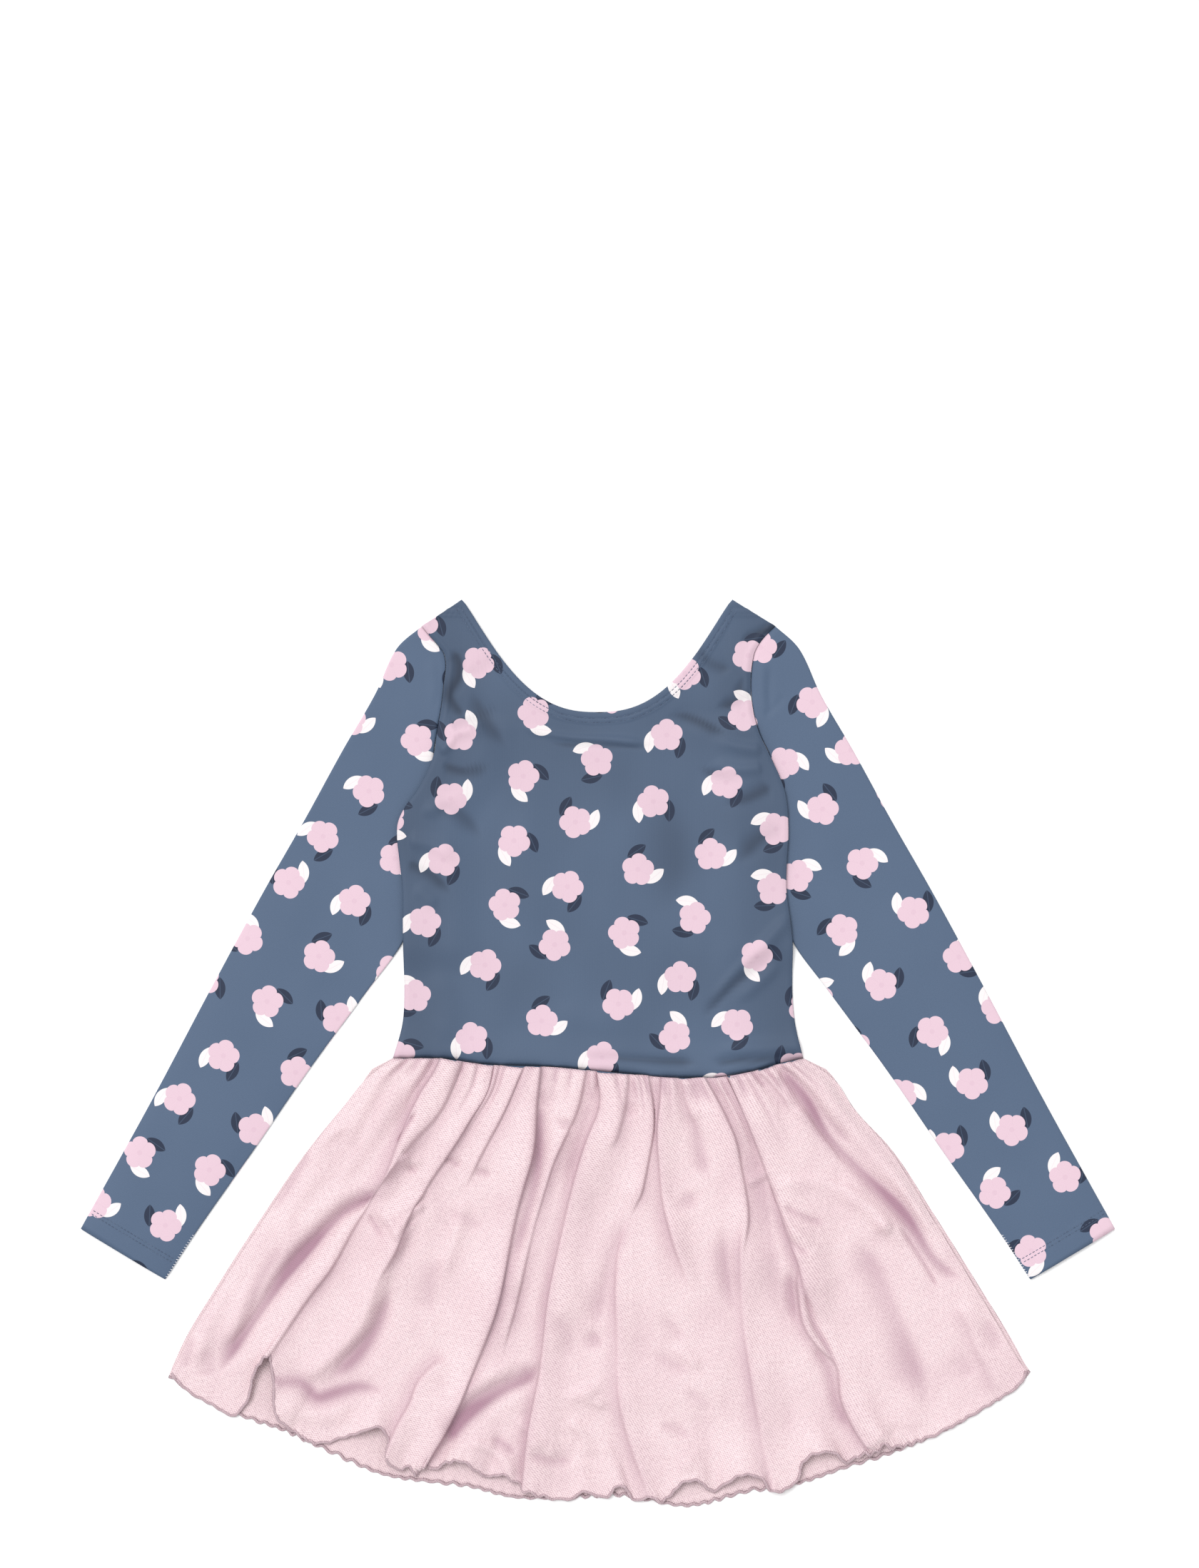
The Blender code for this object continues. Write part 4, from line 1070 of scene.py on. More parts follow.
def sleeve_plan(side):
    """Plan, share of the way down and distance from the nearer fold, for all of a sleeve."""
    top = armhole_line(side)
    sections = np.array(SLEEVE_SECTIONS) + (side * SLEEVE_MIDDLE, 0.0, side * SLEEVE_MIDDLE, 0.0)
    outer, inner = sections[:, :2], sections[:, 2:]
    outer[0], inner[0] = top[0], top[-1]
    knots = lengths((outer + inner) / 2.0)
    share = np.linspace(0.0, 1.0, SLEEVE_ROWS + 1)
    down = 0.25 * share + 0.75 * share ** 1.35
    down = down + 0.06 * np.sin(np.pi * share) * share
    down = down / down[-1]
    outer_line = spline_points(knots / knots[-1], outer, down)
    inner_line = spline_points(knots / knots[-1], inner, down)

    width = np.linalg.norm(outer_line - inner_line, axis=1)[:, None]
    turn = np.linspace(0.0, np.pi / 2, NOSE_STEPS + 1)
    nose = NOSE_DEPTH * (1.0 - np.cos(turn))[None, :]
    flat = np.linspace(0.0, 1.0, SLEEVE_COLUMNS + 1)[None, 1:-1]
    across = np.concatenate(
        (nose / width, (NOSE_DEPTH + flat * (width - 2 * NOSE_DEPTH)) / width,
         1.0 - nose[:, ::-1] / width), axis=1,
    )
    run = lengths(top) / lengths(top)[-1]
    top_points = spline_points(run, top, across)
    bottom = outer_line[-1] + across[..., None] * (inner_line[-1] - outer_line[-1])
    fall = down[:, None, None]
    body = (1.0 - fall) * top_points + fall * bottom
    outer_bend = outer_line - ((1 - down)[:, None] * top[0] + down[:, None] * outer_line[-1])
    inner_bend = inner_line - ((1 - down)[:, None] * top[-1] + down[:, None] * inner_line[-1])
    plan = (body + (1.0 - across)[..., None] * outer_bend[:, None]
            + across[..., None] * inner_bend[:, None])
    from_fold = np.minimum(across, 1.0 - across) * width
    return plan, down, from_fold


def cuff_distance(plan):
    """Distance of each point from the cuff's straight edge."""
    first, last = plan[-1, 0], plan[-1, -1]
    run = (last - first) / np.linalg.norm(last - first)
    away = plan - first
    return np.abs(away[..., 0] * run[1] - away[..., 1] * run[0])


print("length of an armhole line, mm:", round(float(lengths(armhole_line(1))[-1])))

# %% [markdown]
# The sleeves have a few creases of their own, most of them near the armhole. The upper layer
# puffs up a little towards the cuff, where the cloth lies loose, and the turned hem of the cuff
# stands proud of it. The print runs on from the upper layer round each fold, as on real cloth.

# %% Sleeves
SLEEVE_CREASES = {
    1: (
        Fold(((108, 262), (107, 240), (108.5, 219)), 3.2, 3.2, 0.7, 0, 10, 12),
        Fold(((112.6, 258), (111.8, 240), (112.6, 222)), 2, 2.6, -0.6, 0, 12, 12),
        Fold(((108, 221), (116, 228), (123.6, 237)), 1.8, 2.4, -0.5, 0, 4, 6),
        Fold(((150, 120), (176, 70), (204, 30)), 12, 12, 0.5, 0, 40, 40),
        Fold(((250, 0), (275, -50), (300, -92)), 14, 14, -0.4, 0, 30, 30),
    ),
    -1: (
        Fold(((-112, 262), (-109, 244), (-110.5, 226)), 3.4, 3.4, 0.5, 0, 10, 12),
        Fold(((-150, 130), (-172, 84), (-204, 24)), 12, 12, 0.5, 0, 40, 40),
        Fold(((-254, 4), (-280, -50), (-302, -92)), 14, 14, -0.4, 0, 30, 30),
    ),
}


def sleeve_top(plan, down, from_fold, side):
    """Height of the upper layer's outer face where the tube is not rounded off."""
    half = np.max(from_fold, axis=1, keepdims=True)
    share = 1.0 - np.clip(from_fold / half, 0.0, 1.0)
    puff = SLEEVE_PUFF * smooth_step(down, 0.28, 0.5)[:, None] * (1.0 - share ** 4)
    from_cuff = cuff_distance(plan)
    hem = 0.4 * smooth_step(from_cuff, CUFF_HEM_DEPTH + 2.0, CUFF_HEM_DEPTH)
    rows = sum(groove(from_cuff - row, CUFF_ROW_DEPTH, ROW_WIDTH) for row in CUFF_ROWS)
    world_plan = plan * (side, 1.0)
    creases, _, _ = fold_shapes(world_plan, SLEEVE_CREASES[side])
    slack = 0.25 * swell(world_plan[..., 0], world_plan[..., 1], 21 + side, 110.0, 26.0)
    inner = smooth_step(from_fold, 2.0, 14.0)
    over = smooth_step(plan[..., 0], 122.0, 132.0) + smooth_step(plan[..., 1], 196.0, 208.0)
    seam = groove(lengths(plan[:, plan.shape[1] // 2])[:, None], 0.6, 1.5)
    return (SLEEVE_FLAT - CLEAR + puff + hem + rows + seam
            + (creases + slack) * inner * np.clip(over, 0.0, 1.0))


SLEEVE_CUTS = {-1: (1047.0, 1438.0), 1: (2772.0, 1450.0)}


def sleeve(name, side):
    """A sleeve: rings from the inner fold under, round the outer fold and back on top."""
    plan, down, from_fold = sleeve_plan(side)
    top = sleeve_top(plan, down, from_fold, side)
    base = np.full(top.shape, CLEAR - 0.15)
    middle = (top + base) / 2.0
    into = np.minimum(from_fold / NOSE_DEPTH, 1.0)
    rounded = np.sqrt(np.clip(1.0 - (1.0 - into) ** 2, 0.0, 1.0))
    upper_z = middle + (top - middle) * rounded
    under_z = middle - (middle - base) * rounded
    flat = plan * (side, 1.0)

    axis = np.array((side * 0.5, -0.866))
    square = np.array((side * 0.866, 0.5))
    fold_place = plan[:, :1] * (side, 1.0)
    along = flat @ axis
    over = flat @ square
    mirrored = 2.0 * (fold_place @ square) - over
    under_cut = np.stack((mirrored, along), axis=2)
    upper_cut = np.stack((over, along), axis=2)

    closed = np.concatenate((lifted(flat, under_z)[:, ::-1], lifted(flat, upper_z)[:, 1:]), axis=1)
    cut = np.concatenate((under_cut[:, ::-1], upper_cut[:, 1:]), axis=1)
    if side > 0:
        closed, cut = closed[:, ::-1], cut[:, ::-1]
    return cloth(name, closed[:, :-1], cut + SLEEVE_CUTS[side], SLATE_KNIT, KNIT_THICK, -1.0, True)


left_sleeve = sleeve("left_sleeve_tube", -1)
right_sleeve = sleeve("right_sleeve_tube", 1)

# %% [markdown]
# Each cuff is turned up inside and held by twin rows of stitches, 12 and 15 mm from its edge. A
# row is found on the sleeve's own grid: in each column, the place where the distance from the
# cuff's edge is right.

# %% Stitches of the cuffs
def cuff_rows(side):
    """Centres and directions of the twin rows on top of one cuff."""
    plan, down, from_fold = sleeve_plan(side)
    top = sleeve_top(plan, down, from_fold, side)
    solid = lifted(plan * (side, 1.0), top)
    distance = cuff_distance(plan)
    columns = np.arange(NOSE_STEPS, plan.shape[1] - NOSE_STEPS)
    centres, headings = [], []
    for inset in CUFF_ROWS:
        row = [np.interp(-inset, -distance[:, k], np.arange(len(down))) for k in columns]
        low = np.floor(row).astype(int)
        part = (row - low)[:, None]
        next_row = np.minimum(low + 1, len(down) - 1)
        line = solid[low, columns] * (1 - part) + solid[next_row, columns] * part
        travelled = lengths(line)
        places = np.arange(1.2, travelled[-1] - 1.0, STITCH_PITCH)
        point = points_at(places, travelled, line)
        centres.append(point + (0.0, 0.0, 0.08))
        headings.append(np.broadcast_to(line[-1] - line[0], point.shape) * (1.0, 1.0, 0.0))
    return np.concatenate(centres), np.concatenate(headings)


cuff_stitches = {}
for side, name in ((-1, "left"), (1, "right")):
    cuff_stitches[side] = stitches(
        f"{name}_cuff_stitches", *cuff_rows(side), STITCH_LONG, STITCH_RADIUS, SLATE_THREAD
    )

# %% [markdown]
# The long seam inside the sleeve is overlocked in white, and its loops peep out along the inner
# fold near the cuff. They are the same small capsules, set square to the fold.

# %% White loops along the inner fold
LOOP_END = 36.0
LOOP_PITCH = 1.9


def overlock_loops(side):
    """Short loops square to the inner fold over the last 36 mm before the cuff."""
    plan, _, _ = sleeve_plan(side)
    line = plan[:, -1] * (side, 1.0)
    from_end = lengths(line)[-1] - lengths(line)
    flat = points_at(-np.arange(2.0, LOOP_END, LOOP_PITCH), -from_end, line)
    run = line[-1] - line[-20]
    run /= np.linalg.norm(run)
    square = np.array((-run[1], run[0]))
    into = np.mean(plan[-1], axis=0) * (side, 1.0) - line[-1]
    square *= np.sign(square @ into)
    centres = flat + 0.55 * square
    heading = np.broadcast_to(square + 0.35 * run, centres.shape)
    return (lifted(centres, np.full(len(centres), SLEEVE_FLAT + 0.05)),
            lifted(heading, np.zeros(len(centres))))


seam_loops = {}
for side, name in ((-1, "left"), (1, "right")):
    seam_loops[side] = stitches(
        f"{name}_seam_loops", *overlock_loops(side), 1.5, 0.2, WHITE_THREAD
    )

# %% [markdown]
# The skirt is a wide piece of light knit gathered into the waist seam, so it falls in long folds
# that fan out to a rolled, wavy hem. To keep the fold edges crisp, the grid's columns follow
# them: a few guide lines run from the seam to the hem along the main folds, and the columns
# between two guides are spread from one to the other, closest together beside each guide.

# %% Guide lines of the skirt
Guide = namedtuple("Guide", "columns path")
SkirtSection = namedtuple("SkirtSection", "height left right")
GUIDES = (
    Guide(26, ((-101, -4), (-104, -11), (-113, -26), (-122, -44), (-131, -62), (-147, -91),
               (-167, -104), (-190, -128), (-204, -144), (-224, -172), (-240, -195), (-254, -215),
               (-262, -228))),
    Guide(30, ((-93, -5), (-98, -18), (-105, -34), (-123, -56), (-141, -80), (-160, -108),
               (-179, -140), (-193, -158), (-206, -178), (-217.8, -196.2))),
    Guide(26, ((-73, -7.5), (-76, -22), (-89, -43), (-112, -80), (-128, -106), (-137, -128),
               (-148, -153), (-159, -181), (-174, -203), (-189, -226), (-201, -248))),
    Guide(35, ((-53, -8), (-67, -40), (-75, -56), (-83, -72), (-89, -90), (-96, -124),
               (-106, -160), (-112, -190), (-120, -222), (-131, -245), (-138, -266))),
    Guide(20, ((-42, -9), (-44, -29), (-47, -63), (-53, -86), (-62, -127), (-74, -176),
               (-86, -209), (-98, -235), (-117, -269))),
    Guide(15, ((-11, -10.5), (-16, -34), (-33, -72), (-43, -106), (-53, -147), (-62, -184),
               (-68, -212), (-79, -242), (-90, -267))),
    Guide(26, ((2, -11.8), (4, -32), (-4, -56), (-19, -106), (-29, -158), (-37, -213),
               (-43, -250), (-47.7, -286.9))),
    Guide(36, ((29, -14.2), (32, -32), (33, -47), (31, -63), (26, -86), (19, -110), (14, -134),
               (13, -156), (13.5, -181), (15, -226), (24, -261), (34.5, -289))),
    Guide(24, ((44, -15.6), (43, -32), (41.5, -50), (42, -70), (44, -95), (50, -118), (56, -140),
               (61, -170), (63, -210), (64, -250), (66, -281))),
    Guide(24, ((66, -15.8), (74, -30), (81, -44), (87, -58), (91, -76), (94.5, -97), (94.5, -134),
               (95.5, -168), (102, -213), (109, -256), (115.4, -287.4))),
    Guide(30, ((88, -14.2), (102, -46), (113, -78), (124, -109), (130.5, -130), (134, -156),
               (139, -181), (148, -193), (157, -202), (163, -229), (175, -252), (181.7, -261.6))),
    Guide(38, ((116, -7), (136, -29), (150, -54), (169, -74), (197, -106), (216, -138),
               (228, -165), (240, -205), (252, -233.4))),
)
LAST_COLUMNS = 18
SKIRT_ROWS = 136
SIDE_INSET = 2.4
COLUMN_CROWDING = 0.6
ROW_CROWDING = 0.25
SKIRT_SIDES = (
    SkirtSection(-3.4, -135.9, 134.6), SkirtSection(-10, -149, 148.6),
    SkirtSection(-18.6, -155, 156), SkirtSection(-28, -162.2, 161.9),
    SkirtSection(-39, -171.6, 169.6), SkirtSection(-60, -188.8, 189.2),
    SkirtSection(-106, -220.9, 219.8), SkirtSection(-154, -252, 249.6),
    SkirtSection(-190, -273.6, 271.4), SkirtSection(-212, -283.4, 283.2),
)


def skirt_edge(name, y, inset=0.0):
    """Where the left or the right edge of the skirt lies at height y, drawn in by inset."""
    edge = spline(-column(SKIRT_SIDES, "height"), column(SKIRT_SIDES, name), -y)
    draw_in = inset * smooth_step(-y, 24.0, 110.0)
    return edge + draw_in if name == "left" else edge - draw_in


print("guide lines:", len(GUIDES))

# %% [markdown]
# The front's hem is not a smooth line. It waves up and down where the folds reach it, and shows
# the back layer below where it draws back. The table follows the hem's line from left to right,
# and every column ends on it at its share of the way along.

# %% Hem line of the front
FRONT_HEM = (
    (-281, -211.2), (-271.4, -221), (-253.6, -231.4), (-240.4, -238), (-232.4, -230),
    (-226.3, -208.9), (-217.8, -196.2), (-214.1, -211.3), (-210.8, -239.5), (-199.5, -249.3),
    (-187.8, -255.9), (-169.9, -253.1), (-155.8, -247.9), (-145, -244.2), (-138.9, -251.2),
    (-137.9, -267.7), (-131.4, -273.3), (-125.3, -270.5), (-120.6, -277.5), (-116.3, -268.6),
    (-111.2, -273.8), (-99.9, -268.1), (-90, -267.2), (-82, -272.8), (-74.5, -278),
    (-62.7, -276.6), (-55.2, -281.3), (-47.7, -286.9), (-32.7, -292.1), (-18.6, -293),
    (-9.2, -287.4), (0.2, -291.6), (5.9, -291.6), (11.5, -283.6), (16.7, -284.6), (20.9, -291.6),
    (27.5, -294.5), (34.5, -289.3), (39.2, -294.5), (46.3, -290.7), (54.3, -281.8), (63.7, -279.9),
    (75.4, -287.9), (83.9, -281.8), (95.6, -275.7), (104.6, -277.5), (115.4, -287.4),
    (123.8, -285.5), (130.9, -279.4), (132.8, -270), (141.2, -262), (151.6, -261.1),
    (164.7, -268.1), (173.2, -263), (181.7, -261.6), (187.3, -256.9), (193.9, -258.7),
    (209.4, -255), (226.3, -247.9), (245.1, -237.6), (262.5, -227.2), (277, -217), (281, -209.4),
)
HemLift = namedtuple("HemLift", "x half_width lift")
HEM_PULL_REACH = 85.0
HEM_LIFTS = (
    HemLift(-218, 15, 6), HemLift(-148, 17, 7), HemLift(-91, 17, 6), HemLift(-63, 11, 3),
    HemLift(-9, 7, 2), HemLift(13.5, 8, 3.5), HemLift(34.5, 6, 2), HemLift(60, 14, 5),
    HemLift(97, 18, 6), HemLift(146, 17, 7), HemLift(177, 10, 3), HemLift(190, 6, 4),
)


def loft_between(guides, counts, rows, crowding):
    """A grid whose columns run from guide to guide: shares across and points of every column."""
    down = crowd(np.linspace(0.0, 1.0, rows + 1), ROW_CROWDING)
    fine = np.linspace(0.0, 1.0, FINENESS * rows + 1)
    lines = [points_at(down, fine, curve_through(path, len(fine))) for path in guides]
    parts, shares = [], []
    for index, count in enumerate(counts):
        share = crowd(np.arange(count + (index == len(counts) - 1)) / count, crowding)
        first, second = lines[index][:, None], lines[index + 1][:, None]
        parts.append(first + share[None, :, None] * (second - first))
        shares.append(index + share)
    return np.concatenate(parts, axis=1), np.concatenate(shares), down


def skirt_front_plan():
    """The front's plan: columns between guides, fitted to the seam above and the hem below."""
    y = np.linspace(SKIRT_SIDES[0].height, FRONT_HEM[0][1], 40)[::3]
    left, right = (np.stack((skirt_edge(name, y, SIDE_INSET), y), axis=1)
                   for name in ("left", "right"))
    left[-1], right[-1] = FRONT_HEM[0], FRONT_HEM[-1]
    guides = [left, *(guide.path for guide in GUIDES), right]
    counts = [guide.columns for guide in GUIDES] + [LAST_COLUMNS]
    plan, share, down = loft_between(guides, counts, SKIRT_ROWS, COLUMN_CROWDING)

    seam = seam_height(plan[0, :, 0]) - SEAM_GAP
    plan[..., 1] += (seam - plan[0, :, 1])[None] * ((1.0 - down) ** 3)[:, None]

    hem = curve_through(FRONT_HEM, 3000)
    ends = [np.argmin(np.linalg.norm(hem - np.asarray(path[-1]), axis=1)) for path in guides]
    along = np.interp(share, np.arange(len(guides)), ends)
    target = points_at(along, np.arange(len(hem)), hem)
    from_hem = (1.0 - down)[:, None] * lengths(plan[:, plan.shape[1] // 2])[-1]
    pull = np.maximum(1.0 - from_hem / HEM_PULL_REACH, 0.0) ** 2
    plan = plan + pull[..., None] * (target - plan[-1])[None]
    hem_run = along / (len(hem) - 1) * lengths(hem)[-1]
    return plan, down, from_hem, hem_run


skirt_plan, skirt_down, skirt_from_hem, skirt_hem_run = skirt_front_plan()
print("skirt front:", skirt_plan.shape[1], "columns; hem", round(skirt_hem_run[-1]), "mm long")

# %% [markdown]
# The folds of the front are of two kinds. Pleats start as gathers, run most of the way down and
# lean over one side. Soft troughs and ridges have no crisp edge. Lengths, widths and heights
# differ from fold to fold, as they do where fingers have drawn up the gathering thread.

# %% Long folds of the skirt
def guide_line(number, start=None, end=None):
    """The path of a guide line, or the stretch of it between two of its points."""
    return GUIDES[number].path[start:end]


LONG_FOLDS = (
    Fold((*guide_line(0, 0, 6), (-160, -99)), 2.6, 10, 6.5, -3.6, 0, 26),
    Fold(((-140, -84), *guide_line(0, 5, 11), (-252, -212)), 6, 5, -3.6, 0, 18, 26),
    Fold(((-152, -84), (-172, -96), (-196, -120), (-212, -138), (-232, -166), (-250, -194)),
          10, 7, 2.6, 0, 26, 26),
    Fold(guide_line(1), 9, 3, 3.8, 2, 0, 0),
    Fold(guide_line(2, 0, 7), 10, 3, 4.6, 3, 0, 34),
    Fold(((-124, -100), (-137, -128), (-148, -153), (-159, -181), (-174, -197), (-189, -210),
          (-200, -216)), 9, 6, 4.2, 0, 34, 22),
    Fold(((-136, -150), (-147, -181), (-162, -202), (-180, -216)), 5, 7, -2.6, 0, 22, 18),
    Fold(guide_line(3, 0, 5), 8, 2.8, 4.2, 2.6, 0, 26),
    Fold(((-86, -92), (-96, -124), (-104, -152)), 5, 5, 1.8, 0, 12, 20),
    Fold(guide_line(4), 14, 2.8, 6, 3, 0, 0),
    Fold(((-38, -24), (-41, -74), (-49, -110), (-60, -146)), 5, 5, -2.8, 0, 20, 36),
    Fold(((-116, -37), (-124, -48), (-134, -61)), 1.7, 1.7, -2.6, 0, 8, 8),
    Fold(((-149, -93.5), (-160, -100), (-172, -107)), 1.7, 1.7, -2.4, 0, 8, 8),
    Fold(((-205, -146), (-222, -170), (-236, -190)), 2.4, 2, -1.8, 0, 14, 12),
    Fold(((112, -80), (124, -110), (134, -134)), 1.8, 1.8, -2, 0, 10, 12),
    Fold(((138, -150), (142, -176), (152, -194), (160, -214)), 1.9, 1.9, -2, 0, 12, 14),
    Fold(((196, -110), (214, -138), (224, -156)), 2.2, 1.8, -2.2, 0, 14, 10),
    Fold(((136, -36), (152, -58), (168, -76)), 2.4, 2, -1.8, 0, 12, 12),
    Fold((*guide_line(5, 0, 6), (-66, -204)), 10, 3.4, 3.8, 1.6, 0, 40),
    Fold(guide_line(6), 2.8, 14, 5.6, -3.2, 0, 0),
    Fold(((16, -13), (15, -29), (10, -51), (5, -66)), 6, 2.8, 3.4, 1.8, 0, 14),
    Fold((*guide_line(7, 0, 5), (20, -106)), 9, 2.8, 4.2, 2.4, 0, 20),
    Fold(((21, -103), *guide_line(7, 6)), 3.6, 12, 3.6, -1.2, 26, 0),
    Fold((*guide_line(8, 0, 7), (62, -162)), 3.2, 8, 5.2, -2.6, 0, 60),
    Fold(((56, -15.9), (59, -29), (64, -42), (70, -60)), 2.8, 5, 4.2, -2, 0, 24),
    Fold(((97, -46), (105, -78), (110, -108), (115, -138), (117, -174)), 11, 7, -1.5, 0, 24, 40),
    Fold(((-4, -26), (-14, -62), (-24, -98)), 7, 4, -1.5, 0, 12, 30),
    Fold(((-228, -108), (-240, -130), (-252, -160)), 4, 5, -1.2, 0, 12, 16),
    Fold(((-188, -62), (-204, -88), (-216, -108)), 4, 4, -1.2, 0, 10, 14),
    Fold(((48, -108), (55, -131), (60, -143), (64, -160)), 5, 4, 1.2, 0, 16, 16),
    Fold(guide_line(9, 0, 7), 8, 3, 4.6, 2.2, 0, 34),
    Fold(((94.5, -104), *guide_line(9, 6)), 5, 12, 4.4, -1.2, 30, 0),
    Fold(((82, -108), (84, -143), (88, -164), (92, -182)), 7, 4, -1.9, 0, 26, 26),
    Fold((*guide_line(10, 0, 4), (136, -141), (142, -162), (151, -183)), 3, 13, 6.2, -3.4, 0, 34),
    Fold(((107, -9.5), (116, -19), (124, -29), (127, -42)), 3, 6, 3.2, -1.6, 0, 14),
    Fold((*guide_line(11, 0, 4), (202, -106), (223, -138), (240, -150)), 5, 5, -3.4, 0, 14, 16),
    Fold(((122, -4), (146, -24), (164, -48), (186, -72), (212, -98), (232, -126)),
          6, 7, 3.4, 0, 0, 24),
    Fold(((132, -134), *guide_line(10, 5, 11), (182, -262)), 3.2, 13, 5.4, -2.6, 18, 8),
    Fold(((126, -138), (127, -158), (132, -184)), 5, 4, -2.2, 0, 14, 18),
    Fold(((164, -120), (180, -138), (190, -160), (204, -196), (215, -226), (220, -243)),
          11, 8, -1.8, 0, 24, 40),
    Fold(((146, -88), (164, -94), (184, -108), (202, -128)), 6, 9, 2.2, 0, 22, 18),
    Fold(((235, -163), (243, -177), (249, -192), (256, -206), (263, -226)),
          4, 8, 2.4, -1.2, 10, 10),
    Fold(((182, -106), (193, -120)), 4, 4, 1.9, 0, 6, 8),
    Fold(((-98, -199), (-109, -208), (-116, -216), (-122, -231), (-131, -247), (-138, -264)),
          3.4, 11, 4.4, -2, 10, 0),
    Fold(((-36, -202), (-46, -213), (-62, -221), (-76, -230), (-90, -242), (-104, -262)),
          7, 6, -3.6, 0, 16, 16),
    Fold(((-52, -200), (-66, -208), (-84, -220), (-98, -238)), 6, 6, 2.4, 0, 16, 16),
    Fold(((-87, -254), (-72, -260), (-62, -268), (-56, -280)), 3, 4, 1.8, 0, 8, 6),
)
print("long folds:", len(LONG_FOLDS))

# %% [markdown]
# Between the long folds lie shorter ones: crushed spots beside the pleats, small pulls at the
# hem, and soft troughs where the cloth sags from one fold to the next. They are small, but
# without them the cloth would look pressed.

